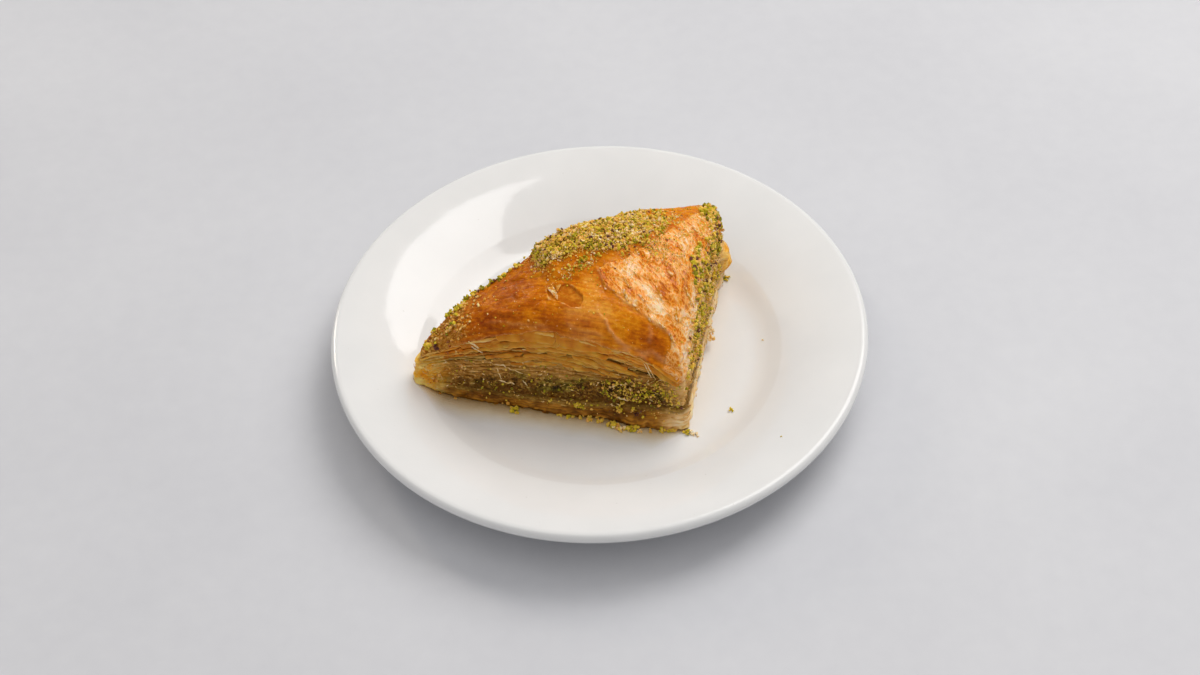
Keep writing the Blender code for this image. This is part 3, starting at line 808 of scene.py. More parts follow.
def flat_spot(flat, along=1.0, across=1.0, turn=0.0):
    """Slice coordinates as points for rough(), stretched along a direction."""
    turned = np.stack([
        flat[..., 0] * math.cos(turn) + flat[..., 1] * math.sin(turn),
        flat[..., 1] * math.cos(turn) - flat[..., 0] * math.sin(turn)], axis=-1)
    return np.concatenate([turned / (along, across), turned[..., :1] * 0.0], axis=-1)


def from_cut(flat):
    """Share of the way from tip to back corner, and distance in from the cut."""
    along = (flat - (LONG_LEG, 0.0)) @ np.array((-LONG_LEG, SHORT_LEG)) / CUT ** 2
    return along, LONG_LEG * SHORT_LEG / CUT - flat @ np.array((SHORT_LEG, LONG_LEG)) / CUT


def heap(flat):
    """Height of the ground pistachio strewn in a band along the cut."""
    share, inward = from_cut(flat)
    start, full, thins, end = HEAP_ALONG
    along = smoothstep(start, full, share) * (1.0 - smoothstep(thins, end, share))
    mounds = 1.0 + 0.28 * rough(flat_spot(flat), 8.0 * MM, 29)
    return HEAP_HEIGHT * along * mounds * (1.0 - smoothstep(*HEAP_ACROSS, inward))


def crust_height(flat):
    return pillow(flat, CRUST_CORNERS, CRUST_BULGES) - curl(flat) + heap(flat)


def under_crust(flat):
    return crust_height(flat) - 1.3 * MM


def baked_leaf():
    finish = Finish(
        "leaf_edges", Subsurface_Weight=0.35, Subsurface_Scale=0.0016,
        Subsurface_Radius=(1.0, 0.42, 0.08), Specular_IOR_Level=0.10, Coat_Weight=0.06,
        Coat_Roughness=0.15)
    lip, leaf, low, golden = (finish.painted(name) for name in ("lip", "leaf", "low", "golden"))
    streaks = finish.noise(0.0011, detail=4.0, where=finish.drawn(3.0, 3.0, 0.6))
    patches = finish.noise(0.007, detail=3.0)
    # The lip mark paints each leaf's exposed edge lighter and its underside darker, as painted
    # light and shade.
    tone = (lip * 0.42 + leaf * 0.36 + streaks * 0.5 + patches * 0.3 - 0.3).held()
    baked = finish.ramp(
        tone, (0.06, (0.12, 0.022, 0.001)), (0.26, (0.42, 0.095, 0.003)),
        (0.50, (0.78, 0.230, 0.014)), (0.74, (0.92, 0.39, 0.055)), (1.0, (0.98, 0.66, 0.24)))
    soft = finish.ramp(
        tone, (0.1, (0.42, 0.15, 0.007)), (0.5, (0.84, 0.38, 0.04)), (1.0, (0.95, 0.66, 0.20)))
    moist = finish.ramp(
        tone, (0.06, (0.09, 0.022, 0.001)), (0.30, (0.27, 0.088, 0.006)),
        (0.54, (0.50, 0.225, 0.034)), (0.78, (0.78, 0.43, 0.10)), (1.0, (0.96, 0.66, 0.26)))
    return finish.feed(
        Base_Color=finish.blend(golden, finish.blend(low, baked, moist), soft),
        Roughness=(streaks * 0.4 + 0.25).held(), Normal=finish.bump(streaks, 0.0002, 0.7))


# The upper part of the slice draws in towards the sharp tip by so much.
TUCKED = 1.6 * MM * smoothstep(70.0, 84.0, FOOT[:, 0] / MM)
leaf_low = side_height(filling_height)
leaf_high = side_height(crust_height) - 0.9 * MM
leaf_room = (leaf_high - leaf_low) / LEAVES
leaf_points, leaf_values = [], []
chance = np.random.default_rng(7)
for leaf in range(LEAVES):
    share = (leaf + 0.5) / LEAVES
    level = leaf_low + leaf_room * (leaf + 0.5)
    spot = placed(side_flat(level), level) * (1.0, 1.0, 0.0) + (0.0, 0.0, leaf * 31.0 * MM)
    level = level + leaf_room * (
        0.75 * rough(spot, 11.0 * MM, 31) + 0.35 * rough(spot, 3.6 * MM, 30))
    torn = smoothstep(0.12, 0.25, rough(spot, 9.0 * MM, 32))
    reach = 0.75 * share - 0.35 + 0.6 * rough(spot, 6.0 * MM, 33) + 0.3 * rough(spot, 1.3 * MM, 34)
    reach = (reach - 1.1 * torn * (1.0 - share * 0.4)) * MM - TUCKED * share
    droop = leaf_room * np.clip(0.75 + 1.5 * rough(spot, 7.0 * MM, 35), 0.1, 2.2) * (0.6 + share)
    gauge = np.minimum(LEAF_GAUGE, leaf_room * 0.5) * (1.0 + 0.4 * rough(spot, 5.0 * MM, 36))
    # Each point of a leaf's section: how far out, how far it droops, top or underside, and its
    # painted light: exposed edge lightest, underside and hidden part darker.
    section = (
        (-LEAF_DEPTH, 0.0, 0.0, 0.0), (reach - 1.1 * MM, 0.10, 0.0, 0.3),
        (reach - 0.3 * MM, 0.4, 0.0, 0.7), (reach, 1.0, 0.0, 1.0), (reach, 1.0, 1.0, 1.0),
        (reach - 0.45 * MM, 0.4, 1.0, 0.2), (-LEAF_DEPTH, 0.0, 1.0, 0.0))
    own = chance.uniform(-0.5, 0.5) + 0.5 * rough(spot, 10.0 * MM, 37)
    sunk = smoothstep(0.62, 0.16, share + 0.25 * rough(spot, 12.0 * MM, 38))
    for out, fall, below, lip in section:
        height = level - droop * fall - gauge * below
        leaf_points.append(placed(side_flat(height, out + np.zeros(COLUMNS)), height))
        leaf_values.append((np.full(COLUMNS, lip), 0.5 + own, sunk))

ring_faces = np.array(wrapped_faces(len(section), COLUMNS, ring=True))[:, ::-1]
leaf_faces = ring_faces + np.arange(LEAVES)[:, None, None] * len(section) * COLUMNS
leaf_points = np.concatenate(leaf_points)
leaf_edges = piece(
    "leaf_edges", leaf_points, leaf_faces.reshape(-1, 4).tolist(), baked_leaf())
for name, values in zip(("lip", "leaf", "low"), np.array(leaf_values).transpose(1, 0, 2)):
    paint(leaf_edges, name, values)
paint(leaf_edges, "golden", near_tip(leaf_points))
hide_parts("top_phyllo")


def shadowed_core():
    finish = Finish("leaf_core", Subsurface_Weight=0.1, Subsurface_Scale=0.001, Roughness=0.5)
    layers = finish.noise(0.0012, detail=3.0, where=finish.drawn(4.0, 4.0, 0.6))
    return finish.feed(
        Base_Color=finish.ramp(
            layers, (0.3, (0.15, 0.036, 0.002)), (0.55, (0.32, 0.098, 0.008)),
            (0.75, (0.48, 0.20, 0.03))),
        Normal=finish.bump(layers, 0.0003, 0.8))


def core_out(spot, _):
    return (-1.5 + 0.3 * layered(spot, 2.0 * MM, 41)) * MM


core_rows, _ = wall(under_crust, filling_height, CORE_ROWS, core_out)
closed_layer(
    "leaf_core", core_rows, under_crust, filling_height, shadowed_core())


# Draped leaves: the uppermost sheets have slid down over the leaf ends in front and hang as
# smooth amber cloths, thin enough for light to come through; lower ones end in pale steps.
# Where each starts and ends along the long leg and how far it rises over the crust's edge; its
# length at the start, in the middle and at the end; how far it stands out and how pale it is.
DRAPES = (
    (59.0, 39.2, -0.8, (2.2, 4.4, 5.0), 0.75, 0.1), (39.9, 21.5, -0.9, (5.4, 5.6, 3.0), 0.85, 0.0),
    (12.5, 1.2, -2.0, (1.6, 3.0, 2.8), 0.8, 0.5), (9.5, 0.6, -0.4, (0.8, 2.0, 1.4), 1.2, 0.4),
    (24.0, 15.5, -2.4, (1.0, 1.6, 1.2), 0.3, 0.0), (70.0, 56.0, -1.8, (1.2, 2.6, 2.0), 0.5, 0.5),
    (62.0, 38.0, -4.4, (1.4, 2.8, 2.4), 0.55, 0.5), (40.5, 23.0, -5.6, (2.0, 2.4, 1.6), 0.5, 0.3),
    (50.0, 28.5, -6.9, (1.2, 2.0, 1.7), 0.45, 0.7), (33.0, 17.0, -7.3, (1.0, 1.9, 1.2), 0.4, 0.6),
    (66.0, 54.0, -5.2, (0.9, 1.8, 1.2), 0.3, 0.8), (51.0, 41.0, -8.1, (0.8, 1.6, 1.0), 0.3, 0.9),
    (43.0, 36.0, -8.6, (1.2, 1.9, 0.9), 0.4, 1.0), (62.0, 50.0, -9.2, (1.0, 1.7, 1.0), 0.3, 0.8),
    (57.0, 43.0, -10.8, (0.9, 1.8, 1.1), 0.4, 1.0), (50.0, 36.0, -10.2, (1.0, 1.7, 1.2), 0.4, 0.8),
    (46.0, 31.0, -11.9, (0.8, 1.7, 1.0), 0.5, 1.0), (40.0, 26.0, -10.4, (1.0, 1.8, 1.2), 0.4, 0.9),
    (35.0, 21.0, -9.3, (1.0, 1.7, 1.1), 0.4, 0.7), (32.0, 19.0, -11.2, (0.8, 1.5, 1.0), 0.5, 1.0),
    (27.0, 14.0, -8.4, (0.8, 1.7, 1.0), 0.4, 0.7), (54.0, 39.0, -13.0, (0.7, 1.5, 0.8), 0.5, 1.0),
    (38.0, 24.0, -13.0, (0.7, 1.5, 0.8), 0.5, 1.0))
DRAPE_ROWS = 8
DRAPE_GAUGE = 0.2 * MM


def shells(grids, gauge):
    """Thin closed sheets over grids of points, each as thick as the gauge."""
    points, faces, count = [], [], 0
    for grid in grids:
        rows, columns = grid.shape[:2]
        along, across = np.gradient(grid, axis=0), np.gradient(grid, axis=1)
        normal = np.cross(along, across)
        normal /= np.maximum(np.linalg.norm(normal, axis=-1, keepdims=True), 1e-12)
        points += [(grid + normal * side * gauge / 2.0).reshape(-1, 3) for side in (1.0, -1.0)]
        quads = np.array(wrapped_faces(rows, columns, closed=False))
        under = rows * columns
        index = np.arange(under).reshape(rows, columns)
        border = np.concatenate(
            [index[0], index[1:, -1], index[-1, -2::-1], index[-2:0:-1, 0]])
        beside = np.roll(border, -1)
        rim = np.stack([border, border + under, beside + under, beside], axis=1)
        for part in (quads, quads[:, ::-1] + under, rim[:, ::-1]):
            faces.append(part + count)
        count += under * 2
    return np.concatenate(points), np.concatenate(faces).tolist()


def amber_leaf():
    finish = Finish(
        "draped_leaf", Subsurface_Weight=0.5, Subsurface_Scale=0.0022,
        Subsurface_Radius=(1.0, 0.38, 0.05), Specular_IOR_Level=0.10, Coat_Weight=0.12,
        Coat_Roughness=0.1)
    fold, pale = finish.painted("fold"), finish.painted("pale")
    streaks = finish.noise(0.0012, detail=4.0, where=finish.drawn(3.0, 3.0, 1.0))
    # The fold mark is painted light: lighter and darker along the creases, shade at the top, light
    # at the bottom edge.
    tone = (fold * 0.55 + streaks * 0.55 - 0.04).held()
    amber = finish.ramp(
        tone, (0.12, (0.42, 0.072, 0.001)), (0.40, (0.82, 0.200, 0.004)),
        (0.66, (0.95, 0.33, 0.022)), (0.95, (0.98, 0.58, 0.17)))
    beige = finish.ramp(
        tone, (0.12, (0.34, 0.085, 0.003)), (0.40, (0.68, 0.215, 0.014)),
        (0.66, (0.88, 0.38, 0.05)), (0.95, (0.97, 0.64, 0.22)))
    return finish.feed(
        Base_Color=finish.blend(pale, amber, beige),
        Roughness=(streaks * 0.3 + 0.16).held(), Normal=finish.bump(streaks, 0.00018, 0.6))


drape_grids, drape_light, drape_pales = [], [], []
crust_side = side_height(crust_height)
down = np.linspace(0.0, 1.0, DRAPE_ROWS)[:, None]
for index, (starts, ends, rise, lengths, out, pale) in enumerate(DRAPES):
    held = np.flatnonzero(
        SIDES["front"] & (FOOT[:, 0] < starts * MM) & (FOOT[:, 0] > ends * MM))
    across = np.linspace(0.0, 1.0, len(held))
    spot = flat_spot(FOOT[held]) + (0.0, 0.0, index * 17.0 * MM)
    length = np.interp(across, (0.0, 0.5, 1.0), lengths)
    length += 0.6 * rough(spot, 6.0 * MM, 51) + 0.25 * rough(spot, 1.2 * MM, 52)
    length *= 0.3 + 0.7 * np.clip(np.minimum(across, 1.0 - across) * 16.0, 0.0, 1.0) ** 0.5
    height = np.zeros((DRAPE_ROWS, COLUMNS))
    settle = 0.4 * rough(spot, 14.0 * MM, 53)
    height[:, held] = crust_side[held] + (rise + settle - length * down) * MM
    slant = spot + down[..., None] * (1.3 * MM, 1.1 * MM, 0.0)
    creases = rough(slant, 2.8 * MM, 54) + 0.4 * rough(slant, 1.1 * MM, 55)
    sag = np.zeros((DRAPE_ROWS, COLUMNS))
    belly = np.sin(math.pi * np.clip(down * 0.85 + 0.1, 0.0, 1.0)) * 0.25
    sag[:, held] = (out * (1.1 * down - 0.35) + belly + 0.35 * creases * down) * MM
    drape_grids.append(placed(side_flat(height, sag), height)[:, held])
    # Painted light on each drape: lighter and darker along its creases, a shadow along the top
    # under the crust's edge, and a light rim along the bottom edge.
    light = np.clip(
        0.42 + 0.42 * creases - 0.4 * smoothstep(0.30, 0.04, down)
        + 0.5 * smoothstep(0.82, 1.0, down), 0.0, 1.0)
    drape_light += [light.ravel()] * 2
    drape_pales.append(np.full(light.size * 2, pale))
drape_points, drape_faces = shells(drape_grids, DRAPE_GAUGE)
drapes = piece("draped_leaves", drape_points, drape_faces, amber_leaf())
paint(drapes, "fold", np.concatenate(drape_light))
paint(drapes, "pale", np.concatenate(drape_pales))


# Frayed ends: dry slivers of leaf that came off under the knife and stick to the cut faces. The
# long pale ones in front stand where they show; short ones are all round.
# Both ends of each, as the way along the long leg and the height, and its width.
FRAYS = (
    ((58.0, 17.2), (56.3, 12.0), 0.34), ((57.1, 11.2), (52.2, 10.5), 0.5),
    ((53.9, 16.4), (49.7, 15.4), 0.3), ((58.4, 17.4), (53.6, 16.8), 0.34),
    ((49.6, 12.6), (48.2, 10.8), 0.36), ((11.2, 26.4), (8.6, 20.4), 0.3),
    ((12.0, 26.2), (9.8, 20.8), 0.3), ((20.6, 11.2), (17.4, 10.4), 0.45),
    ((67.0, 25.2), (63.5, 22.8), 0.5), ((66.0, 23.2), (62.4, 21.4), 0.4))
RANDOM_FRAYS = 260
FRAY_GAUGE = 0.09 * MM


def on_side(column, height, out):
    """Point on the leaning side at a place between columns."""
    column = column % COLUMNS
    here = np.floor(column).astype(int) % COLUMNS
    part = (column - np.floor(column))[..., None]
    beside = (here + 1) % COLUMNS
    foot = FOOT[here] * (1 - part) + FOOT[beside] * part
    leant = LEANT[here] * (1 - part) + LEANT[beside] * part
    flat = foot + (leant - foot) * (height / LEAN_HEIGHT)[..., None]
    return placed(flat + OUTWARD[here] * out[..., None], height)


def sliver(start, end, width, out, seed):
    """Thin curled strip between two (column, height) places on the side."""
    way = (end - start) * (COLUMN_STEP, 1.0)
    length = np.linalg.norm(way)
    across = np.array((-way[1], way[0])) / length
    along = np.linspace(0.0, 1.0, 12)[:, None]
    wide = np.linspace(-0.5, 0.5, 4)[None, :]
    path = np.stack([along[:, 0] * 4.0, along[:, 0] * 0.0 + seed, along[:, 0] * 0.0], axis=1)
    bend, twist, ragged = (rough(path, 1.3, seed + step)[:, None] for step in range(3))
    wide = wide * width * (0.55 + 0.45 * np.sin(math.pi * along) + 0.4 * ragged)
    wide = wide + bend * length * 0.09
    column = start[0] + (end[0] - start[0]) * along + across[0] * wide / COLUMN_STEP
    height = start[1] + (end[1] - start[1]) * along + across[1] * wide
    return on_side(column, height, out + wide * twist * 1.5 + width * 0.5 * twist)


def dry_leaf():
    finish = Finish(
        "frayed_leaf", Subsurface_Weight=0.3, Subsurface_Scale=0.001,
        Subsurface_Radius=(1.0, 0.5, 0.2), Specular_IOR_Level=0.12)
    bright, patches = finish.painted("bright"), finish.noise(0.0012, detail=3.0)
    return finish.feed(
        Base_Color=finish.ramp(
            (patches + bright * 0.14).held(), (0.36, (0.36, 0.14, 0.016)),
            (0.5, (0.66, 0.35, 0.07)), (0.66, (0.92, 0.66, 0.34))),
        Roughness=(patches * 0.3 + 0.3).held(), Normal=finish.bump(patches, 0.0002, 0.5))


slivers = []
front = np.flatnonzero(SIDES["front"])
for index, (start, end, width) in enumerate(FRAYS):
    ends = [
        np.array((np.interp(-way * MM, -FOOT[front, 0], front), height * MM))
        for way, height in (start, end)]
    slivers.append(sliver(*ends, width * MM, 1.6 * MM, index))
layer_bottom, layer_top = side_height(base_height), side_height(crust_height)
for index in range(RANDOM_FRAYS):
    column = chance.uniform(0.0, COLUMNS)
    low, high = (edge[int(column)] for edge in (layer_bottom, layer_top))
    height = low * 0.4 + (high - low * 0.4) * chance.uniform(0.05, 0.74)
    turn = chance.normal(0.0, 0.45)
    length = chance.uniform(0.7, 3.0) * MM
    start = np.array((column, height))
    end = start + (length * math.cos(turn) / COLUMN_STEP, length * math.sin(turn))
    width = chance.uniform(0.14, 0.42) * MM
    slivers.append(sliver(start, end, width, chance.uniform(0.3, 0.9) * MM, 20 + index))
sliver_points, sliver_faces = shells(slivers, FRAY_GAUGE)
frayed = piece("frayed_leaves", sliver_points, sliver_faces, dry_leaf())
named = np.arange(len(slivers)) < len(FRAYS)
paint(frayed, "bright", np.repeat(named, len(sliver_points) // len(slivers)))


# Crust: the topmost leaf, baked dark gold and glazed with syrup. To the right the leaf over it has
# stayed as a pale film, crumpled like tissue; near the middle it has torn open on the leaf below.
CRUST_RINGS = 124
CRUST_GAUGE = 1.15 * MM
CRUST_MARKS = (
    "film", "tear", "rim", "dust", "lines", "deep", "dark", "pale", "crumbly", "fold", "number")
FILM_BORDER = np.array((
    (30.5, 22.0), (27.6, 16.6), (24.6, 14.6), (21.8, 14.2), (18.2, 12.7), (14.6, 10.8),
    (11.4, 9.8), (8.4, 9.2), (6.6, 8.6), (6.4, 5.6), (7.6, 3.4), (8.4, 1.0), (8.6, -4.0),
    (-4.0, -4.0), (-4.0, 62.0),
    (7.0, 58.0), (12.0, 46.0), (17.0, 36.0), (24.0, 27.0))) * MM
TEAR_BORDER = np.array((
    (43.7, 13.4), (42.2, 14.9), (41.0, 14.2), (40.4, 12.6), (39.7, 14.6), (38.6, 15.8),
    (36.6, 14.8), (34.6, 13.2), (33.0, 12.2), (32.5, 10.4), (32.9, 8.5), (34.9, 8.0),
    (37.2, 8.8), (39.8, 9.6), (42.3, 10.1), (43.2, 11.6))) * MM
TEAR_DEPTH = 0.8 * MM
FILM_SLANT = math.radians(-54.0)
# Points along each crease, its width and its height; each ridge is also painted paler as a
# highlight.
CREASES = (
    (((31.0, 22.4), (28.0, 17.4), (24.9, 15.0)), 0.35, 0.3),
    (((24.9, 14.4), (22.4, 13.6), (20.9, 13.1), (17.1, 11.7), (15.2, 10.7)), 0.38, 0.6),
    (((16.4, 11.4), (13.0, 10.3), (10.0, 9.7), (6.8, 9.0), (4.9, 6.3), (2.9, 3.6)), 0.42, 0.65),
    (((25.6, 7.0), (25.2, 6.4), (23.5, 4.5), (21.0, 3.2), (18.9, 2.6), (16.6, 2.6)), 0.42, 0.5),
    (((36.4, 4.0), (33.4, 3.2), (30.4, 3.0), (27.4, 3.2), (24.4, 3.0)), 0.5, 0.2),
    (((16.9, 2.7), (13.2, 2.7), (11.2, 3.4), (8.4, 3.2), (5.4, 3.6)), 0.5, 0.35),
    (((28.4, 10.8), (27.6, 8.0), (26.2, 6.2)), 0.4, 0.22),
    (((13.4, 9.4), (12.2, 7.0), (12.6, 4.4)), 0.5, 0.2),
    (((61.0, 4.6), (56.0, 4.2), (50.4, 3.2), (44.4, 3.0), (38.0, 2.6)), 0.35, 0.15),
    (((5.2, 12.6), (4.6, 20.0), (6.2, 27.0), (5.4, 35.0)), 0.5, 0.35),
    (((9.6, 30.0), (6.8, 40.0), (7.6, 50.0)), 0.5, 0.35),
    (((13.0, 20.0), (9.2, 26.4), (8.6, 33.0)), 0.45, 0.3),
)
# Four points along the middle of each dark or pale patch, its width and its strength.
DEEP_PLACES = (
    ((66.0, 5.0), (60.0, 5.6), (54.0, 5.0), (47.0, 4.2), 2.6, 0.5),
    ((46.0, 4.4), (38.0, 5.0), (31.0, 5.2), (28.0, 4.6), 1.9, 0.55),
    ((16.4, 5.6), (12.6, 5.8), (9.4, 5.4), (7.0, 5.0), 2.4, 0.95),
    ((18.6, 3.6), (17.4, 4.2), (16.6, 5.2), (16.0, 6.2), 1.3, 0.7),
    ((13.0, 18.0), (11.0, 21.0), (9.0, 24.0), (9.6, 28.0), 1.7, 0.9),
    ((5.4, 17.4), (5.0, 22.0), (5.4, 27.0), (6.2, 31.0), 1.2, 0.6),
    ((25.6, 27.4), (22.0, 29.0), (18.0, 33.0), (15.0, 38.0), 1.5, 0.6),
    ((30.0, 23.0), (28.4, 19.6), (26.6, 17.0), (25.4, 15.4), 2.4, 0.95),
    ((21.0, 18.0), (20.2, 17.0), (19.0, 16.2), (17.8, 15.2), 1.6, 0.7),
    ((15.0, 41.0), (12.6, 45.0), (10.4, 49.0), (8.4, 53.0), 3.0, 0.5),
)
# The pale patches are partly paler film and partly painted highlights where the film catches the
# light.
PALE_AND_GLINT_PLACES = (
    ((23.8, 24.0), (22.6, 22.6), (21.6, 21.6), (20.4, 20.6), 2.2, 0.85),
    ((21.6, 13.9), (20.2, 13.4), (18.6, 12.9), (17.0, 12.2), 0.9, 1.0),
    ((17.6, 19.6), (14.8, 17.4), (12.0, 15.0), (8.8, 11.8), 2.2, 1.0),
    ((38.0, 7.0), (33.0, 8.0), (28.0, 8.6), (22.0, 8.4), 3.2, 0.45),
    ((3.0, 9.0), (3.6, 13.0), (3.4, 17.0), (3.0, 22.0), 1.0, 0.5),
    ((9.0, 50.0), (9.6, 44.0), (8.4, 38.0), (7.4, 33.0), 2.0, 0.25),
    ((34.0, 19.0), (31.4, 16.6), (29.6, 13.4), (28.0, 10.6), 1.8, 0.35),
)


def border_depth(flat, border):
    """Distance in from a closed border, negative outside it."""
    inside = np.zeros(flat.shape[:-1], bool)
    nearest = np.full(flat.shape[:-1], np.inf)
    for here, there in zip(border, np.roll(border, -1, axis=0)):
        way = there - here
        share = np.clip(((flat - here) @ way) / (way @ way), 0.0, 1.0)
        away = np.linalg.norm(flat - here - share[..., None] * way, axis=-1)
        nearest = np.minimum(nearest, away)
        crosses = (here[1] > flat[..., 1]) != (there[1] > flat[..., 1])
        level = (flat[..., 1] - here[1]) / (way[1] if way[1] else 1.0)
        inside ^= crosses & (flat[..., 0] < here[0] + level * way[0])
    return np.where(inside, nearest, -nearest)


def crease(flat, line, width):
    """Rounded ridge along a line of points, fading to both ends."""
    line = np.array(line) * MM
    total = np.zeros(flat.shape[:-1])
    for index, (here, there) in enumerate(zip(line, line[1:])):
        way = there - here
        share = np.clip(((flat - here) @ way) / (way @ way), 0.0, 1.0)
        away = np.linalg.norm(flat - here - share[..., None] * way, axis=-1)
        place = (index + share) / (len(line) - 1)
        fade = np.clip(np.minimum(place, 1.0 - place) * 6.0, 0.0, 1.0)
        total = np.maximum(total, np.exp(-(away / width) ** 2) * fade)
    return total


def marked(flat, places):
    """Soft patches, each along four points with its own width and strength."""
    total = np.zeros(flat.shape[:-1])
    for *line, width, strength in places:
        total = np.maximum(total, crease(flat, line, width * MM) * strength)
    return total


def pushed(flat, amount, size, seed, relief=layered):
    """Slice coordinates moved about sideways, so that what is drawn by them wavers."""
    return flat + amount * np.stack([
        relief(flat_spot(flat), size, seed + step) for step in range(2)], axis=-1)


def crumpled(flat):
    """Facets of crumpled film: height from 0 to 1, nearness to a sharp fold, and its own number;
    the finish paints the film paler near folds as a highlight.

    They run towards the right-angled corner in front and along the short leg further back.
    """
    swirl = pushed(flat, 2.4 * MM, 7.0 * MM, 68)
    back = smoothstep(14.0 * MM, 26.0 * MM, flat[..., 1])
    front_facets = cells(flat_spot(swirl, 2.6, 1.0, math.radians(36.0)), 2.3 * MM, 64)
    back_facets = cells(flat_spot(swirl, 2.4, 1.0, math.radians(68.0)), 2.0 * MM, 65)
    wide, gap, number = (
        one * (1.0 - back) + two * back for one, two in zip(front_facets, back_facets))
    fine, fine_gap, _ = cells(flat_spot(swirl, 2.2, 1.0, math.radians(50.0)), 1.05 * MM, 67)
    fold = np.maximum(smoothstep(0.30, 0.0, gap), smoothstep(0.22, 0.0, fine_gap) * 0.5)
    return np.clip(wide * 0.75 + fine * 0.3, 0.0, 1.2), fold, number


def heap_reach(flat):
    """How far down from the cut the strewn pistachio comes, from 1 to 0 at its ragged border."""
    share, inward = from_cut(flat)
    reach = np.interp(share, (0.40, 0.50, 0.60, 0.68), (11.4, 13.0, 16.6, 26.0)) * MM
    ragged = 1.4 * MM * rough(flat_spot(flat), 3.0 * MM, 109)
    return smoothstep(0.0, -2.6 * MM, inward - reach + ragged)


def crust_features(flat):
    """What shapes and colours the crust at each place, each from 0 to 1."""
    wobble = pushed(flat, 0.9 * MM, 3.2 * MM, 61)
    film = smoothstep(-0.1 * MM, 0.45 * MM, border_depth(wobble, FILM_BORDER))
    hole = border_depth(flat + (wobble - flat) * 0.25, TEAR_BORDER)
    tear = smoothstep(-0.03 * MM, 0.14 * MM, hole)
    rim = smoothstep(-0.6 * MM, -0.15 * MM, hole) * (1.0 - tear)
    rim = rim * smoothstep(-0.15, 0.25, rough(flat_spot(flat), 2.4 * MM, 59))
    dust = smoothstep(0.22, 0.5, heap(wobble) / HEAP_HEIGHT + 0.25 * rough(
        flat_spot(flat), 3.0 * MM, 63)) * heap_reach(flat)
    lines = np.zeros(flat.shape[:-1])
    uneven = 0.75 + 0.5 * rough(flat_spot(flat), 2.6 * MM, 60)
    for line, width, height in CREASES:
        lines = np.maximum(
            lines, crease(flat + (wobble - flat) * 0.6, line, width * MM) * height * uneven)
    tip = smoothstep(64.0, 72.0, flat[..., 0] / MM + 5.0 * layered(flat_spot(flat), 4.0 * MM, 58))
    shape, fold, number = crumpled(flat)
    dark = smoothstep(24.0, 56.0, flat[..., 0] / MM + 6.0 * rough(flat_spot(flat), 11.0 * MM, 57))
    lit_edge = smoothstep(4.2, 2.4, wobble[..., 0] / MM) * np.interp(
        flat[..., 1] / MM, (1.0, 5.0, 22.0, 30.0, 50.0), (0.4, 0.8, 0.8, 0.35, 0.2))
    return {
        "film": film, "tear": tear, "rim": rim, "dust": dust, "lines": np.clip(lines, 0.0, 1.0),
        "deep": marked(wobble, DEEP_PLACES), "dark": dark,
        "pale": np.maximum(marked(wobble, PALE_AND_GLINT_PLACES), lit_edge), "crumbly": tip,
        "facet": shape, "fold": fold, "number": number}


def crust_surface(flat, traits=None):
    """Height of the crust with its film, creases, tear and the pistachio on it."""
    traits = traits or crust_features(flat)
    bare = 1.0 - traits["dust"]
    spot = flat_spot(flat)
    inner = smoothstep(0.0, 1.5 * MM, curl_room(flat))
    waves = 0.6 * rough(spot, 12.0 * MM, 71) + 0.3 * rough(spot, 5.0 * MM, 72)
    blisters = 0.35 * smoothstep(0.3, 0.6, rough(spot, 4.2 * MM, 73))
    streaks = 0.2 * rough(flat_spot(flat, 6.0, 1.0, math.radians(-2.0)), 1.7 * MM, 66)
    grit = 0.12 * layered(spot, 1.1 * MM, 74)
    film = traits["film"] * (0.6 - 0.55 * traits["facet"] + 0.12 * traits["fold"])
    heaped = 0.45 * traits["dust"] * layered(spot, 1.3 * MM, 75)
    rise = (waves + blisters) * inner + (streaks + grit) * bare
    rise = rise + (film + traits["lines"] + traits["rim"] * 0.12) * bare + heaped
    rise = rise + traits["crumbly"] * (
        0.55 * layered(spot, 2.0 * MM, 76) + 0.25 * rough(spot, 0.9 * MM, 77))
    whole = 1.0 - traits["tear"]
    return crust_height(flat) + rise * whole * MM - TEAR_DEPTH * traits["tear"]


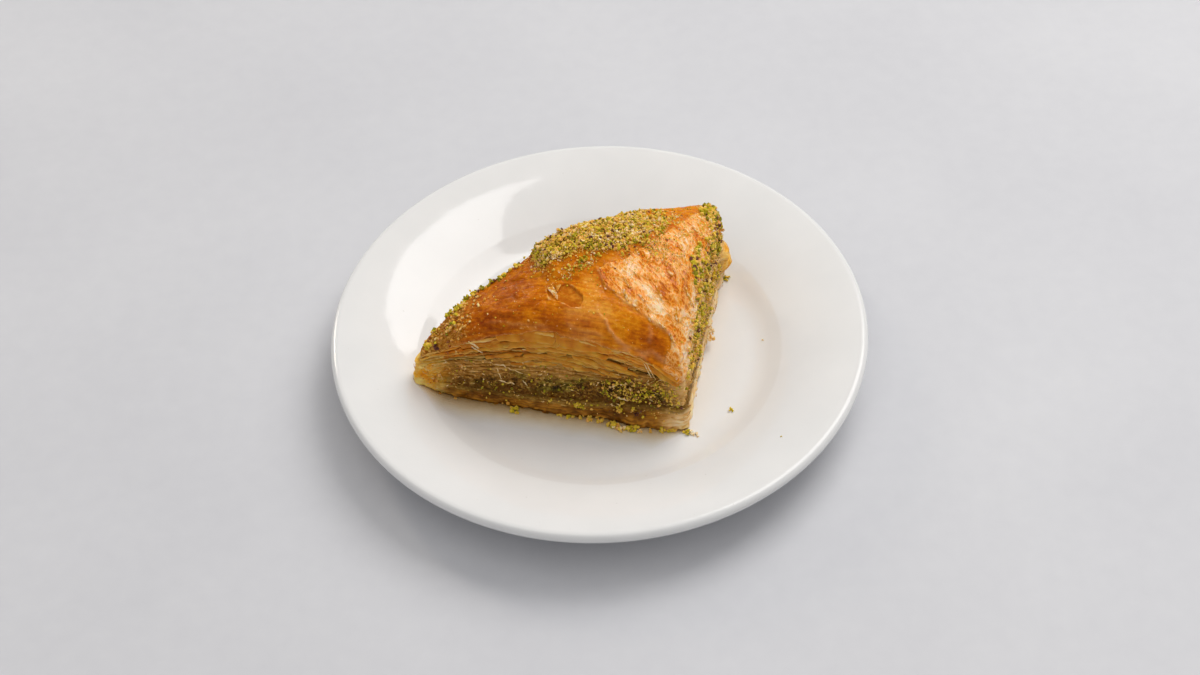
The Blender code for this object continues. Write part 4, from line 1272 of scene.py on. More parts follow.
def glazed_crust():
    finish = Finish(
        "glazed_crust", Subsurface_Weight=0.25, Subsurface_Scale=0.0014,
        Subsurface_Radius=(1.0, 0.36, 0.05), Specular_IOR_Level=0.09, Coat_Roughness=0.05)
    film, tear, rim, dust, lines, deep, dark, pale, crumbly, fold, number = (
        finish.painted(name) for name in CRUST_MARKS)
    lip = finish.painted("lip")
    patches = finish.noise(0.0075, detail=4.0, roughness=0.6)
    mottle = finish.noise(0.0016, detail=4.0, roughness=0.65)
    fine = finish.noise(0.0005, detail=3.0)
    streaks = finish.noise(0.0008, detail=4.0, where=finish.drawn(7.0, 1.0, 1.0, SLICE_TURN))
    # Small pale flecks, kept to some patches below, painted as glints.
    glint_flecks = finish.noise(0.0008, detail=1.0).between(0.64, 0.70)
    tone = (
        patches * 0.44 + mottle * 0.46 + streaks * 0.5 - deep * 0.20 - dark * 0.14
        + pale * 0.2 - 0.15).held()
    baked = finish.ramp(
        tone, (0.16, (0.24, 0.034, 0.001)), (0.38, (0.48, 0.110, 0.001)),
        (0.56, (0.70, 0.215, 0.002)), (0.74, (0.84, 0.36, 0.016)), (1.0, (0.92, 0.56, 0.11)))
    glint_flecks = glint_flecks * patches.between(0.50, 0.60) * (1.0 - deep) * 0.6
    baked = finish.blend(glint_flecks, baked, (0.92, 0.55, 0.18))
    slanted = finish.swirled(finish.drawn(4.4, 1.1, 1.0, FILM_SLANT), 0.005, 0.006)
    crossed = finish.swirled(finish.drawn(1.0, 3.4, 1.0), 0.004, 0.005)
    # Fold lines of the crumpled film, painted paler as highlights along the ridges.
    fold_highlights = finish.facets(0.0013, slanted, "DISTANCE_TO_EDGE").between(0.13, 0.0)
    fold_highlights = (fold_highlights + finish.facets(0.0011, crossed, "DISTANCE_TO_EDGE").between(0.09, 0.0)).held()
    bit = finish.grains(0.0013, slanted)
    strokes = finish.noise(0.0017, detail=4.0, where=slanted)
    # The film is painted paler along its folds and fold lines and at the pale places, partly as
    # highlights.
    shred = (
        number * 0.34 + bit * 0.18 + strokes * 0.42 + mottle * 0.22 + patches * 0.2 + pale * 0.42
        + fold * 0.14 + fold_highlights * 0.34 - deep * 0.32 - 0.42).held()
    tissue = finish.ramp(
        shred, (0.10, (0.58, 0.125, 0.001)), (0.32, (0.82, 0.240, 0.006)),
        (0.52, (0.93, 0.38, 0.060)), (0.74, (0.98, 0.54, 0.20)), (1.0, (1.0, 0.72, 0.46)))
    tone = finish.blend(film, baked, tissue)
    # Pale places outside the film: partly paler crust, partly painted highlight.
    tone = finish.blend((pale * (1.0 - film) * mottle).held(), tone, (0.90, 0.46, 0.13))
    # Crease ridges painted paler as highlights.
    tone = finish.blend((lines * (mottle + 0.4)).held(), tone, (0.96, 0.52, 0.22))
    tone = finish.blend(tear, tone, finish.ramp(
        (mottle * 0.5 + patches * 0.5).held(), (0.35, (0.42, 0.095, 0.001)),
        (0.5, (0.56, 0.160, 0.003)), (0.65, (0.76, 0.29, 0.02))))
    # The tear's rim painted pale as a highlight along its edge.
    tone = finish.blend(rim * mottle.between(0.42, 0.62), tone, (0.94, 0.56, 0.22))
    # Under the heap the crust is painted dark brown as the shade between the grains.
    tone = finish.blend(dust, tone, finish.ramp(
        mottle, (0.35, (0.11, 0.038, 0.001)), (0.6, (0.28, 0.112, 0.007))))
    tone = finish.blend(crumbly * (1.0 - dust), tone, finish.ramp(
        (mottle * 0.6 + fine * 0.4).held(), (0.32, (0.18, 0.050, 0.002)),
        (0.48, (0.46, 0.175, 0.014)), (0.66, (0.80, 0.44, 0.10))))
    # The skirt's lip painted pale as a highlight along the crust's edge.
    tone = finish.blend((lip * mottle.between(0.34, 0.62)).held(), tone, (0.90, 0.45, 0.13))
    gloss = (mottle * 0.26 + dust * 0.4 + crumbly * 0.3 - film * 0.08 + 0.14).held()
    coat = (
        film * (mottle.between(0.44, 0.60) * 0.5 + 0.1) + lines * 0.5 + tear * 0.15 + 0.09
        - dust * 0.9 - crumbly * 0.3).held()
    relief = finish.bump(fine, 0.0001, 0.5, finish.bump(streaks, 0.0002, 0.6))
    relief = finish.bump(finish.facets(0.0013, slanted) * film, 0.0005, 0.9, relief)
    relief = finish.bump(finish.facets(0.0011, crossed) * film, 0.0003, 0.7, relief)
    return finish.feed(
        Base_Color=tone, Roughness=gloss, Coat_Weight=coat,
        Normal=finish.bump(mottle, 0.00022, 0.5, relief))


def crust_skirt(spot, flat):
    """How far the crust's edge hangs down its side."""
    hang = 1.25 + 0.9 * rough(spot, 5.0 * MM, 81) + 0.45 * rough(spot, 1.4 * MM, 82)
    hang += 2.2 * smoothstep(9.0, 3.0, flat[:, 0] / MM) * smoothstep(6.0, 1.0, flat[:, 1] / MM)
    hang += SIDES["front"] * np.interp(
        flat[:, 0] / MM, (14.0, 20.0, 37.5, 38.6, 43.5, 46.0), (0.0, 0.7, 1.5, 0.0, 0.0, 0.6))
    return np.where(SIDES["cut"], 0.5 + 0.25 * rough(spot, 2.0 * MM, 83), hang) * MM


edge_height = side_height(crust_surface)
edge_flat = side_flat(edge_height, -TUCKED)
ring_shares = 1.0 - np.linspace(1.0, 0.0, CRUST_RINGS) ** 1.15 * 0.985
ring_flats = MIDDLE + (edge_flat - MIDDLE) * ring_shares[:, None, None]
traits = crust_features(ring_flats)
crust_rows = list(placed(ring_flats, crust_surface(ring_flats, traits)))
edge_spot = crust_rows[-1]
hang = crust_skirt(edge_spot, edge_flat)
swell = np.where(SIDES["cut"], 0.1, 0.55) * MM
# Share of the way down the hanging edge, how far it swells out, and how pale its lip is painted,
# as a highlight.
SKIRT = (
    (0.12, 0.45, 0.0), (0.3, 0.8, 0.0), (0.58, 1.0, 0.0), (0.84, 1.0, 0.4), (1.0, 0.8, 1.0),
    (1.04, 0.3, 0.8), (0.95, -0.6, 0.1), (0.6, -1.8, 0.0), (0.2, -3.0, 0.0))
curled = 0.3 * MM * rough(edge_spot, 3.0 * MM, 84)
along, back = edge_flat.T / MM
cornered = smoothstep(12.0, 6.0, along) * smoothstep(12.0, 5.0, back)
curled += 0.9 * MM * cornered * layered(edge_spot * (1.0, 1.0, 0.2), 1.7 * MM, 85)
for share, out, _ in SKIRT:
    height = edge_height - hang * share
    crust_rows.append(
        placed(side_flat(height, swell * out + curled * max(out, 0.0) - TUCKED), height))
inner_flat = MIDDLE + (edge_flat - MIDDLE) * 0.92
for scale in (1.0, 0.93, 0.7, 0.4):
    flat = MIDDLE + (inner_flat - MIDDLE) * scale
    crust_rows.append(placed(flat, crust_height(flat) - CRUST_GAUGE))
crust_count = len(crust_rows)
crust_points, crust_faces = capped(
    np.concatenate(crust_rows), wrapped_faces(crust_count, COLUMNS), COLUMNS,
    placed(MIDDLE, crust_surface(MIDDLE[None])[0]),
    placed(MIDDLE, crust_height(MIDDLE[None])[0] - CRUST_GAUGE))
crust = piece(
    "baked_crust", crust_points, [face[::-1] for face in crust_faces], glazed_crust())
skirt_lip_highlights = np.array([lip for _, _, lip in SKIRT])[:, None]
for name in (*CRUST_MARKS, "lip"):
    whole = np.zeros((crust_count, COLUMNS))
    below = whole[CRUST_RINGS:CRUST_RINGS + len(SKIRT)]
    if name == "lip":
        below[:] = skirt_lip_highlights
    else:
        whole[:CRUST_RINGS] = traits[name]
        below[:] = traits[name][-1] * (1.0 - skirt_lip_highlights * 0.6) * (name != "tear")
    paint(crust, name, np.append(whole, (0.0, 0.0)))


# Torn leaf: a shred of the top leaf is folded over inside the tear, and small flakes of film have
# come loose around it and along the film's border.
# Corners on the crust, each with its lift.
FLAP_CORNERS = ((43.6, 13.4, 0.3), (42.2, 14.6, 0.1), (39.6, 9.5, 0.2), (40.0, 11.2, 0.6))
NOTCH_CORNERS = ((41.3, 14.8, 0.0), (39.9, 15.0, 0.1), (40.6, 12.4, 0.5), (40.2, 12.2, 0.6))
FLAKE_PLACES = (
    (27.4, 16.2), (24.0, 14.6), (21.0, 14.6), (17.6, 12.2), (13.6, 11.0), (9.4, 9.8), (6.4, 8.0),
    (16.4, 15.2), (21.4, 18.6), (12.2, 19.0), (6.4, 15.0), (4.0, 22.0), (10.4, 26.0),
    (9.0, 36.0), (6.4, 46.0))
FILM_GAUGE = 0.08 * MM


def quilt(corners, rows, columns, seed, crumple):
    """Grid of points between four corners on the crust, crumpled a little."""
    first, second, third, fourth = (np.array(corner) * MM for corner in corners)
    down = np.linspace(0.0, 1.0, rows)[:, None, None]
    across = np.linspace(0.0, 1.0, columns)[None, :, None]
    spot = (first * (1 - across) + second * across) * (1 - down)
    spot = spot + (third * (1 - across) + fourth * across) * down
    flat, lift = spot[..., :2], spot[..., 2]
    lift = lift + crumple * rough(flat_spot(flat), 1.3 * MM, seed)
    return flat, lift


def flake_grid(centre, size, turn, seed):
    """Curved shred of leaf lying on the crust, lifted at its ends."""
    across, down = np.meshgrid(np.linspace(-1.0, 1.0, 9), np.linspace(-1.0, 1.0, 6))
    edge = 1.0 + 0.5 * rough(np.stack([across, down, across * 0.0 + seed], axis=-1), 1.1, seed)
    across, down = across * edge * size[0] / 2.0, down * edge * size[1] / 2.0
    flat = np.array(centre) * MM + np.stack([
        across * math.cos(turn) - down * math.sin(turn),
        across * math.sin(turn) + down * math.cos(turn)], axis=-1)
    curled = (across / size[0]) ** 2 * 1.1 + (down / size[1]) ** 2 * 0.5
    return placed(flat, crust_surface(flat) + (0.06 + 0.7 * curled) * MM)


def shred_of_leaf():
    finish = Finish(
        "loose_film", Subsurface_Weight=0.4, Subsurface_Scale=0.001,
        Subsurface_Radius=(1.0, 0.42, 0.10), Specular_IOR_Level=0.12, Coat_Weight=0.12,
        Coat_Roughness=0.05)
    streaks = finish.noise(0.0009, detail=3.0)
    return finish.feed(
        Base_Color=finish.ramp(
            streaks, (0.34, (0.66, 0.18, 0.004)), (0.5, (0.86, 0.34, 0.04)),
            (0.64, (1.0, 0.66, 0.38))),
        Roughness=(streaks * 0.3 + 0.08).held(), Normal=finish.bump(streaks, 0.0002, 0.6))


loose = []
for corners, crumple in ((FLAP_CORNERS, 0.3 * MM), (NOTCH_CORNERS, 0.12 * MM)):
    flat, lift = quilt(corners, 14, 10, 91, crumple)
    level = crust_height(flat) - TEAR_DEPTH * 0.35
    loose.append(placed(flat, level + lift))
for index, place in enumerate(FLAKE_PLACES):
    size = np.array((chance.uniform(1.8, 4.4), chance.uniform(0.35, 0.9))) * MM
    turn = math.radians(chance.normal(36.0, 16.0))
    loose.append(flake_grid(place, size, turn, 100 + index))
loose_points, loose_faces = shells(loose, FILM_GAUGE)
piece("loose_film", loose_points, loose_faces, shred_of_leaf())


# Ground pistachio: kernels chopped fine, green inside, with a few purple skins. It lies in a heap
# along the cut, clings to the syrupy ends of the leaves and has rolled onto the plate.
CHIP_POINTS = np.array((
    (1.0, 0.0, 0.0), (-1.0, 0.0, 0.0), (0.0, 1.0, 0.0), (0.0, -1.0, 0.0), (0.0, 0.0, 1.0),
    (0.0, 0.0, -1.0)))
CHIP_FACES = np.array((
    (0, 2, 4), (2, 1, 4), (1, 3, 4), (3, 0, 4), (2, 0, 5), (1, 2, 5), (3, 1, 5), (0, 3, 5)))
HEAP_GRAINS = 17000
HEAP_DUST = 32000
SHOULDER_GRAINS = 30000
CUT_SPAN = 112.0


def ball(level):
    """Unit lump of triangles, finer by each level."""
    made = bmesh.new()
    bmesh.ops.create_icosphere(made, subdivisions=level, radius=1.0)
    points = np.array([corner.co for corner in made.verts])
    faces = np.array([[corner.index for corner in face.verts] for face in made.faces])
    made.free()
    return points, faces


def broken(spots, sizes, level):
    """Small lumps, each turned and squashed by chance and cut flat on three sides."""
    unit, unit_faces = ball(level) if level else (CHIP_POINTS, CHIP_FACES)
    count = len(spots)
    turns = chance.normal(size=(count, 4))
    w, x, y, z = (turns / np.linalg.norm(turns, axis=1, keepdims=True)).T
    spin = np.stack([
        1 - 2 * (y * y + z * z), 2 * (x * y - z * w), 2 * (x * z + y * w),
        2 * (x * y + z * w), 1 - 2 * (x * x + z * z), 2 * (y * z - x * w),
        2 * (x * z - y * w), 2 * (y * z + x * w), 1 - 2 * (x * x + y * y)],
        axis=1).reshape(-1, 3, 3)
    squash = np.stack([
        np.ones(count), chance.uniform(0.6, 1.0, count), chance.uniform(0.45, 0.85, count)],
        axis=1)
    lump = unit[None] * chance.uniform(0.78, 1.18, (count, len(unit), 1)) * squash[:, None]
    for _ in range(3):
        plane = chance.normal(size=(count, 3))
        plane /= np.linalg.norm(plane, axis=1, keepdims=True)
        over = np.einsum("npk,nk->np", lump, plane) - chance.uniform(0.35, 0.7, (count, 1))
        lump = lump - np.maximum(over, 0.0)[..., None] * plane[:, None]
    points = np.einsum("npk,nkj->npj", lump, spin) * sizes[:, None, None] / 2.0 + spots[:, None]
    faces = unit_faces[None] + np.arange(count)[:, None, None] * len(unit)
    return points.reshape(-1, 3), faces.reshape(-1, 3), len(unit)


def chopped(name, lots, finish):
    """Joins lots of lumps into one piece; each lot has spots, sizes, tones and a fineness."""
    points, faces, tones, count = [], [], [], 0
    for spots, sizes, own, level in lots:
        lot_points, lot_faces, corners = broken(spots, sizes, level)
        points.append(lot_points)
        faces.append(lot_faces + count)
        tones.append(np.repeat(own, corners))
        count += len(lot_points)
    made = piece(name, np.concatenate(points), np.concatenate(faces).tolist(), finish, False)
    paint(made, "tone", np.concatenate(tones))


def pistachio():
    finish = Finish(
        "chopped_pistachio", Subsurface_Weight=0.1, Subsurface_Scale=0.0005,
        Subsurface_Radius=(0.8, 0.7, 0.2), Specular_IOR_Level=0.22, Coat_Weight=0.1,
        Coat_Roughness=0.25)
    tone = finish.painted("tone")
    grit = finish.noise(0.0006, detail=3.0)
    kernel = finish.ramp(
        (tone + grit * 0.10 - 0.05).held(), (0.0, (0.10, 0.030, 0.020)),
        (0.045, (0.24, 0.085, 0.045)), (0.06, (0.24, 0.215, 0.004)), (0.16, (0.50, 0.42, 0.012)),
        (0.32, (0.76, 0.56, 0.032)), (0.50, (0.86, 0.56, 0.085)), (0.66, (0.86, 0.45, 0.09)),
        (0.82, (0.96, 0.66, 0.28)), (1.0, (1.0, 0.86, 0.56)))
    return finish.feed(
        Base_Color=kernel, Roughness=(grit * 0.4 + 0.35).held(),
        Normal=finish.bump(grit, 0.00015, 0.8))


def grain_sizes(count, low, high):
    """Sizes in metres from limits in millimetres, with more small ones than large."""
    return (low + (high - low) * chance.uniform(size=count) ** 2.2) * MM


def strewn(count, keep):
    """Places all over the slice in plan, kept by chance as the given share says."""
    flat = chance.uniform(size=(count, 2))
    flat = np.where(flat.sum(axis=1, keepdims=True) > 1.0, 1.0 - flat, flat)
    flat = flat * (LONG_LEG, SHORT_LEG)
    flat = flat[border_depth(flat, edge_flat[::4]) > 0.1 * MM]
    return flat[chance.uniform(size=len(flat)) < keep(flat)]


def heap_share(flat):
    """How thickly grains lie in the heap, below it, in the drift on its right and elsewhere."""
    share, inward = from_cut(flat)
    full = heap(pushed(flat, 1.2 * MM, 4.0 * MM, 111, rough)) / HEAP_HEIGHT
    thick = smoothstep(0.04, 0.5, full + 0.22 * rough(flat_spot(flat), 2.4 * MM, 110))
    thick *= heap_reach(flat)
    thin = smoothstep(0.36, 0.42, share) * smoothstep(1.03, 0.86, share)
    thin *= smoothstep(26.0 * MM, 12.0 * MM, inward) * (0.10 + 0.9 * smoothstep(
        0.0, 0.35, rough(flat_spot(flat), 6.0 * MM, 113)))
    patch = crease(flat, ((23.0, 37.0), (17.5, 34.5), (13.0, 32.0), (9.6, 29.0)), 4.6 * MM)
    patch = patch * (0.25 + 0.75 * smoothstep(-0.2, 0.3, rough(flat_spot(flat), 2.6 * MM, 108)))
    bare = smoothstep(0.6 * MM, -0.2 * MM, border_depth(flat, TEAR_BORDER))
    return np.clip(thick + 0.34 * thin + 0.62 * patch + 0.010, 0.0, 1.0) * bare


def strewn_grains(count, low, high):
    """Places and sizes of grains in the heap and scattered round it."""
    flat = strewn(count, heap_share)
    size = grain_sizes(len(flat), low, high)
    size *= 0.66 + 0.34 * smoothstep(0.02, 0.2, heap(flat) / HEAP_HEIGHT)
    lifted = chance.uniform(0.0, 1.0, len(flat)) ** 1.5 * heap(flat) / HEAP_HEIGHT
    lifted = lifted * smoothstep(-0.2, 0.3, rough(flat_spot(flat), 2.2 * MM, 114))
    return placed(flat, crust_surface(flat) + size * 0.2 + lifted * 1.3 * MM), size


def grain_tones(spots, skins=0.035, fresh=0.0):
    """Tone of each grain: purple skin at 0, then green, khaki, tan and pale gold to 1."""
    green = fresh + 0.35 * rough(spots, 3.2 * MM, 115)
    tones = np.clip(chance.beta(1.9, 1.5, len(spots)) - green, 0.07, 0.97)
    tones[chance.uniform(size=len(spots)) < skins] = 0.02
    return tones


pistachio_finish = pistachio()
heap_spots, heap_sizes = strewn_grains(HEAP_GRAINS, 0.6, 1.35)
dust_spots, dust_sizes = strewn_grains(HEAP_DUST, 0.28, 0.75)
chopped(
    "strewn_pistachio",
    ((heap_spots, heap_sizes, grain_tones(heap_spots, fresh=0.06), 1),
     (dust_spots, dust_sizes, grain_tones(dust_spots), 0)),
    pistachio_finish)


def clinging(count, side, keep, heights, out, sizes):
    """Grains on one side of the slice, where keep() says so of their place on it."""
    held = np.flatnonzero(SIDES[side] if isinstance(side, str) else side)
    column = chance.choice(held, count)
    height = chance.uniform(*heights, count) * MM
    kept = chance.uniform(size=count) < keep(FOOT[column] / MM, height / MM)
    column, height = column[kept], height[kept]
    size = grain_sizes(len(column), *sizes)
    away = chance.uniform(*out, len(column)) * MM + size * 0.2
    away -= TUCKED[column] * smoothstep(0.4, 0.9, height / edge_height[column])
    share = (height / LEAN_HEIGHT)[:, None]
    flat = FOOT[column] + (LEANT[column] - FOOT[column]) * share
    flat = flat + OUTWARD[column] * away[:, None]
    return placed(flat, height), size


def together(groups):
    """Joins lots of places and sizes into one array of each."""
    return [np.concatenate(lots) for lots in zip(*groups)]


def clumps(flat, size, seed):
    """Where grains keep together, for places and a size in millimetres."""
    return smoothstep(-0.1, 0.25, rough(flat_spot(flat * MM), size * MM, seed))


def edge_tops(side, way, along):
    """Height of the crust's edge on one side, in millimetres; way measures all columns."""
    held = np.flatnonzero(SIDES[side])
    held = held[np.argsort(way[held])]
    return np.interp(along, way[held], edge_height[held] / MM)


def right_share(foot, height):
    """Thick from the crust's shoulder down to the filling, thinning towards the front corner."""
    along = foot[:, 1]
    above = height - np.interp(
        along, (0.0, 8.0, 20.0, 34.0, 50.0, 66.0), (17.0, 14.0, 9.0, 12.0, 12.0, 7.0))
    over = height - edge_tops("right", FOOT[:, 1] / MM, along)
    inside = smoothstep(-3.0, 3.0, above) * smoothstep(0.9, 0.3, over)
    place = np.stack([along, height], axis=1)
    lobe = smoothstep(56.0, 59.0, along) * smoothstep(19.0, 16.5, height)
    grouped = 0.05 + 0.95 * clumps(place, 4.4, 121)
    return inside * grouped * (1.0 - 0.9 * lobe) * np.interp(along, (2, 14), (0.35, 1.0))


def front_share(foot, height):
    """A clump under the crust beside the front corner, and single grains along the filling."""
    along = foot[:, 0]
    place = np.stack([along, height], axis=1)
    clump = smoothstep(28.0, 20.0, along) * smoothstep(1.0, 4.0, along)
    clump = clump * smoothstep(8.5, 12.0, height) * smoothstep(20.0, 17.0, height)
    sparse = 0.05 * smoothstep(2.0, 5.0, height) * smoothstep(20.0, 16.0, height)
    sparse = sparse * smoothstep(74.0, 66.0, along)
    return clump * (0.35 + 0.65 * clumps(place, 3.4, 122)) + sparse


def cut_share(foot, height):
    """In clumps along the upper edge of the cut, and single grains below."""
    along = np.clip(1.0 - foot[:, 0] * MM / LONG_LEG, 0.0, 1.0)
    under = edge_tops("cut", 1.0 - FOOT[:, 0] / LONG_LEG, along) - height
    rim = smoothstep(5.0, 1.0, under) * smoothstep(-0.5, 0.6, under)
    place = np.stack([along * CUT_SPAN, height], axis=1)
    tip = smoothstep(0.5, 0.3, along)
    return np.clip(
        rim * tip * 0.5 * clumps(place, 4.0, 123) ** 2 + 0.04 * (under > 0.0)
        + 0.3 * rim * clumps(place, 3.0, 124) ** 2, 0.0, 1.0)


def shoulder_share(flat):
    """On top of the crust along its right shoulder, at the back corner and near the tip."""
    along, back = flat[:, 0] / MM, flat[:, 1] / MM
    wide = np.interp(
        back, (0, 14, 22, 28, 34, 42, 48, 53, 57, 61, 68),
        (0, 0, 0.4, 2.2, 3.8, 2.8, 0.6, 1.4, 4.6, 5.6, 5.8))
    shoulder = smoothstep(1.2, -0.4, along - wide - 1.2)
    shoulder = shoulder * np.interp(back, (8.0, 22.0, 66.0), (0.05, 0.9, 0.9))
    knot = smoothstep(53.0, 57.0, back) * smoothstep(7.4, 6.0, along)
    _, inward = from_cut(flat)
    rim = smoothstep(3.4 * MM, 0.8 * MM, inward) * smoothstep(46.0, 58.0, along)
    tip = smoothstep(66.0, 78.0, along) * 0.5
    grouped = clumps(flat / MM, 3.4, 125)
    return np.clip(
        shoulder * (0.1 + 0.9 * grouped) + rim * (0.03 + 0.3 * grouped ** 2)
        + tip * grouped * 0.3 + knot, 0.0, 1.0)


def lip_share(foot, height):
    """Over the crust's edge, so that the grains on top and on the side run together."""
    along = foot[:, 1]
    over = height - edge_tops("right", FOOT[:, 1] / MM, along)
    near = smoothstep(2.6, 1.2, np.abs(over + 0.9))
    grouped = 0.25 + 0.75 * clumps(np.stack([along, height * 0.3], axis=1), 4.0, 129)
    return near * grouped * np.interp(
        along, (12.0, 22.0, 34.0, 46.0, 54.0, 60.0), (0.1, 0.9, 0.9, 0.7, 0.8, 0.2))


top_flat = strewn(SHOULDER_GRAINS, shoulder_share)
top_size = grain_sizes(len(top_flat), 0.6, 2.1)
piled = smoothstep(54.0, 58.0, top_flat[:, 1] / MM) * smoothstep(7.0, 5.0, top_flat[:, 0] / MM)
piled = piled * chance.uniform(0.0, 1.2, len(top_flat)) * MM
top_spots = placed(top_flat, crust_surface(top_flat) + top_size * 0.25 + piled)
moist_spots, moist_sizes = together([
    (top_spots, top_size),
    clinging(6600, "right", right_share, heights=(0.0, 35.0), out=(-0.9, 0.2), sizes=(0.5, 2.0)),
    clinging(3600, "right", lip_share, heights=(16.0, 36.0), out=(0.1, 0.9), sizes=(0.5, 1.9)),
    clinging(5200, "front", front_share, heights=(1.0, 21.0), out=(0.2, 1.2), sizes=(0.45, 1.3)),
    clinging(4200, "cut", cut_share, heights=(1.0, 37.0), out=(0.0, 0.8), sizes=(0.5, 2.1))])
moist_tones = grain_tones(moist_spots, skins=0.03, fresh=0.22)
skinned = rough(moist_spots, 5.0 * MM, 116) > 0.15
moist_tones[skinned & (chance.uniform(size=len(moist_spots)) < 0.22)] = 0.02
fine_spots, fine_sizes = together([
    clinging(5200, "front", front_share, heights=(1.0, 21.0), out=(0.2, 1.2), sizes=(0.25, 0.7)),
    clinging(9000, "right", right_share, heights=(0.0, 35.0), out=(-0.3, 0.7), sizes=(0.25, 0.7))])
chopped(
    "clinging_pistachio",
    ((moist_spots, moist_sizes, moist_tones, 1),
     (fine_spots, fine_sizes, grain_tones(fine_spots, skins=0.1, fresh=0.16), 0)),
    pistachio_finish)


# Shade at the foot: a thin see-through film along the foot in front, dark amber by the slice and
# paler and fainter outward, painted as the contact shadow and the warm glow the slice casts.
FOOT_SHADE_ROWS = 14
FOOT_SHADE_REACH = 9.0
FOOT_SHADE_GAUGE = 0.03 * MM


def painted_foot_shade():
    finish = Finish("painted_foot_shade", Specular_IOR_Level=0.5, Roughness=0.06)
    # Its colour and its see-through fade are painted shade and painted warm glow at the slice's
    # foot.
    thin, mottle = finish.painted("thin"), finish.noise(0.003, detail=3.0)
    tone = finish.ramp(
        (thin + mottle * 0.3 - 0.15).held(), (0.15, (0.96, 0.82, 0.54)),
        (0.5, (0.86, 0.64, 0.28)), (0.9, (0.52, 0.30, 0.06)))
    return finish.feed(Base_Color=tone, Alpha=(thin * (mottle * 0.2 + 0.38)).held())


held = np.flatnonzero(OUTWARD[:, 1] < -0.3)
across = np.linspace(0.0, 1.0, len(held))
foot_shade_width = np.clip(np.minimum(across, 1.0 - across) * 9.0, 0.02, 1.0) * MM * (
    FOOT_SHADE_REACH + 1.6 * rough(flat_spot(FOOT[held]), 12.0 * MM, 131))
outward = np.linspace(-0.1, 1.0, FOOT_SHADE_ROWS)[:, None]
flat = FOOT[held] + OUTWARD[held] * (foot_shade_width * outward)[..., None]
thin = np.clip(1.0 - outward, 0.0, 1.0) ** 1.3
level = plate_top(flat) + (0.05 + 0.18 * thin ** 0.5) * MM
foot_shade_points, foot_shade_faces = shells([placed(flat, level)], FOOT_SHADE_GAUGE)
foot_shade = piece("painted_foot_shade", foot_shade_points, foot_shade_faces, painted_foot_shade())
paint(foot_shade, "thin", np.tile((thin + across * 0.0).ravel(), 2))


# Coarse crumbs: bits of soaked leaf and whole kernel pieces at the tip, along the foot of the
# slice and loose on the plate.
# Place, size and tone of each crumb; those at the edge also have a height.
LOOSE_CRUMBS = (
    (51.8, -1.8, 2.6, 0.25), (50.9, -2.6, 1.3, 0.4), (-0.2, 62.4, 1.7, 0.25),
    (-0.9, 63.0, 1.2, 0.35), (-10.9, 10.1, 1.5, 0.3), (-15.6, 38.7, 0.7, 0.5),
    (-27.4, -4.0, 0.6, 0.3), (26.5, -0.8, 2.4, 0.45), (22.6, -1.9, 2.8, 0.35),
    (20.9, -2.8, 2.0, 0.70), (19.2, -3.6, 2.2, 0.74), (17.4, -2.8, 2.4, 0.3),
    (15.7, -2.4, 2.6, 0.38), (14.0, -3.0, 1.6, 0.75), (38.4, -0.9, 1.8, 0.42),
    (35.2, -1.1, 2.2, 0.3), (31.9, -0.9, 1.6, 0.4), (29.4, -1.2, 2.0, 0.5),
    (0.6, -0.9, 1.8, 0.2), (0.0, -1.3, 1.2, 0.28), (-1.0, -0.8, 1.6, 0.88),
    (-2.0, -1.1, 1.3, 0.94), (-3.0, -1.6, 0.9, 0.9), (11.0, -2.4, 1.4, 0.5),
    (7.6, -1.6, 2.0, 0.46), (4.6, -0.6, 2.2, 0.5), (5.4, -1.0, 1.8, 0.36))
EDGE_CRUMBS = (
    (77.8, 3.4, 17.8, 2.8, 0.30), (77.0, 3.8, 18.2, 1.6, 0.4), (75.0, 2.4, 18.8, 2.2, 0.0),
    (75.6, 3.6, 19.6, 1.6, 0.26), (76.6, 6.0, 20.2, 1.2, 0.4), (73.2, 10.6, 23.8, 2.6, 0.16),
    (72.4, 11.8, 24.6, 2.2, 0.24), (71.2, 12.2, 25.4, 2.4, 0.18), (70.8, 10.0, 24.6, 1.6, 0.0),
    (70.0, 13.0, 26.2, 2.4, 0.34), (69.4, 11.4, 25.8, 1.6, 0.0), (69.0, 14.2, 27.0, 2.2, 0.2),
    (68.2, 14.8, 27.4, 2.4, 0.14), (67.0, 15.8, 28.2, 2.8, 0.4), (65.4, 15.4, 28.9, 1.6, 0.0),
    (64.6, 17.4, 30.0, 1.6, 0.14), (62.0, 19.4, 31.4, 1.6, 0.2), (20.5, -0.5, 5.6, 1.8, 0.5),
    (15.5, -0.5, 4.8, 1.5, 0.0), (33.0, -0.6, 5.4, 2.2, 0.36), (31.6, -0.6, 4.8, 1.4, 0.3),
    (16.4, -0.3, 6.6, 1.2, 0.36), (19.9, -0.1, 8.2, 1.5, 0.4), (-0.6, 34.5, 3.4, 2.2, 0.94),
    (-0.3, 36.5, 4.4, 2.0, 0.86), (0.2, 36.0, 6.4, 1.6, 0.9))
TOP_CRUMBS = 13000


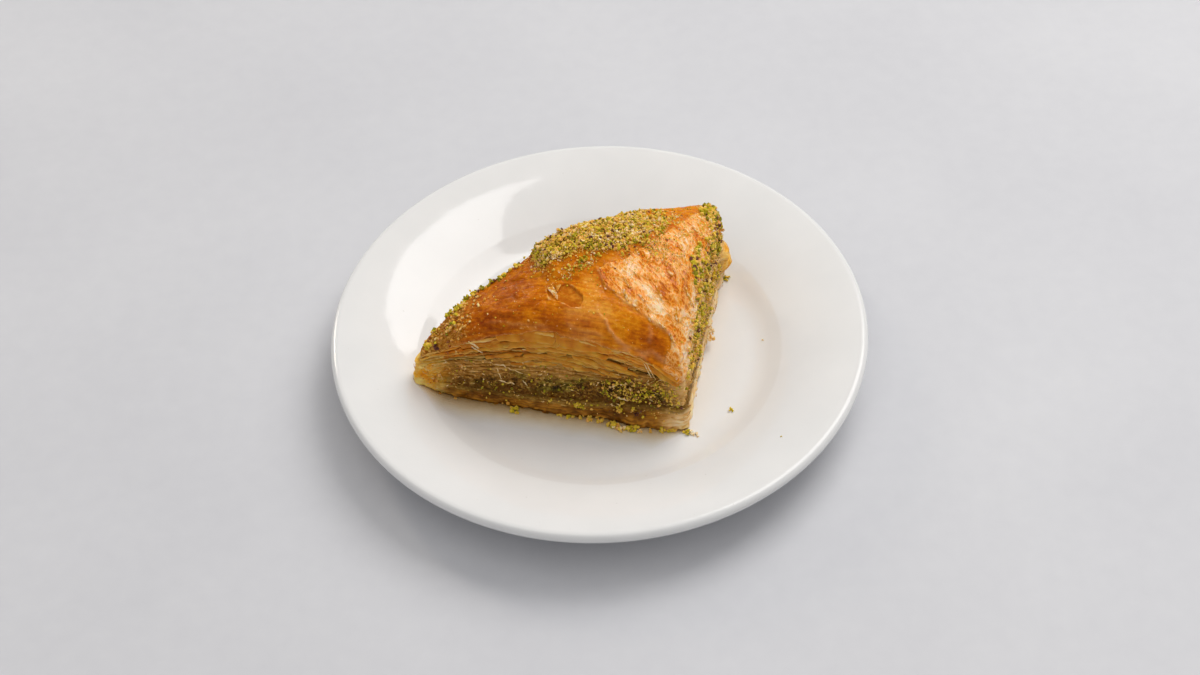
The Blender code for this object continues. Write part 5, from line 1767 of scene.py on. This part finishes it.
def crumb_of_leaf():
    finish = Finish(
        "soaked_crumbs", Subsurface_Weight=0.35, Subsurface_Scale=0.0014,
        Subsurface_Radius=(1.0, 0.55, 0.15), Specular_IOR_Level=0.35, Coat_Weight=0.35,
        Coat_Roughness=0.15)
    tone = finish.painted("tone")
    grit = finish.noise(0.0009, detail=3.0)
    return finish.feed(
        Base_Color=finish.ramp(
            (tone * 0.9 + grit * 0.3 - 0.12).held(), (0.05, (0.24, 0.055, 0.003)),
            (0.3, (0.54, 0.18, 0.012)), (0.6, (0.84, 0.39, 0.05)), (0.9, (0.96, 0.68, 0.28))),
        Roughness=(grit * 0.4 + 0.2).held(), Normal=finish.bump(grit, 0.0003, 0.8))


def tip_share(foot, height):
    """Low down all round the sharp tip."""
    return 0.25 * smoothstep(70.0, 78.0, foot[:, 0]) * smoothstep(11.0, 8.0, height)


def crumbly_share(foot, height):
    """Zone over the tip where the leaf ends have crumbled."""
    place = np.stack([foot[:, 0], height], axis=1)
    zone = smoothstep(60.0, 68.0, foot[:, 0]) * smoothstep(7.0, 12.0, height)
    foot_line = smoothstep(3.6, 0.8, height) * np.interp(
        foot[:, 0], (52.0, 64.0, 84.0), (0.15, 0.8, 0.9))
    return zone * clumps(place, 3.0, 126) + foot_line


def crumbled_top(flat):
    """Zone over the tip on top of the crust, crumbled as on the sides."""
    near = smoothstep(62.0, 70.0, flat[:, 0] / MM + 3.0 * rough(flat_spot(flat), 5.0 * MM, 127))
    return near * (0.25 + 0.75 * clumps(flat / MM, 2.6, 128))


kernel_spots, kernel_sizes, kernel_tones = [], [], []
for *place, size, tone in LOOSE_CRUMBS + EDGE_CRUMBS:
    bits = round(4.0 + 6.0 * size)
    bit_sizes = size * chance.uniform(0.2, 0.62, bits) * MM
    flat = (np.array(place[:2]) + size * chance.uniform(-0.42, 0.42, (bits, 2))) * MM
    if len(place) == 3:
        height = (place[2] + size * chance.uniform(-0.32, 0.32, bits)) * MM
    else:
        height = plate_top(flat) + bit_sizes * chance.uniform(0.3, 0.9, bits)
    kernel_spots.append(placed(flat, height))
    kernel_sizes.append(bit_sizes)
    shift = chance.normal(scale=0.12 if tone else 0.01, size=bits)
    kernel_tones.append(np.clip(tone + shift, 0.07 if tone else 0.0, 1.0))
chopped(
    "loose_crumbs",
    ((*(np.concatenate(lot) for lot in (kernel_spots, kernel_sizes, kernel_tones)), 2),),
    pistachio_finish)
tip_side = FOOT[:, 0] > 66.0 * MM
groups = [
    clinging(1100, tip_side, tip_share, heights=(0.4, 11.0), out=(-0.5, 0.2), sizes=(0.6, 1.7)),
    clinging(1500, "front", crumbly_share, heights=(0.4, 22.0), out=(-0.3, 0.5), sizes=(0.5, 1.5)),
    clinging(800, "cut", crumbly_share, heights=(0.4, 20.0), out=(-0.2, 0.5), sizes=(0.5, 1.5))]
top_flat = strewn(TOP_CRUMBS, crumbled_top)
top_size = grain_sizes(len(top_flat), 0.5, 1.6)
groups.append((placed(top_flat, crust_surface(top_flat) + top_size * 0.15), top_size))
soft_spots, soft_sizes = together(groups)
soft_spots[:, 2] = np.maximum(soft_spots[:, 2], FLOOR_HEIGHT + soft_sizes * 0.32)
chopped(
    "soaked_crumbs", ((soft_spots, soft_sizes, chance.beta(2.2, 2.2, len(soft_sizes)), 1),),
    crumb_of_leaf())
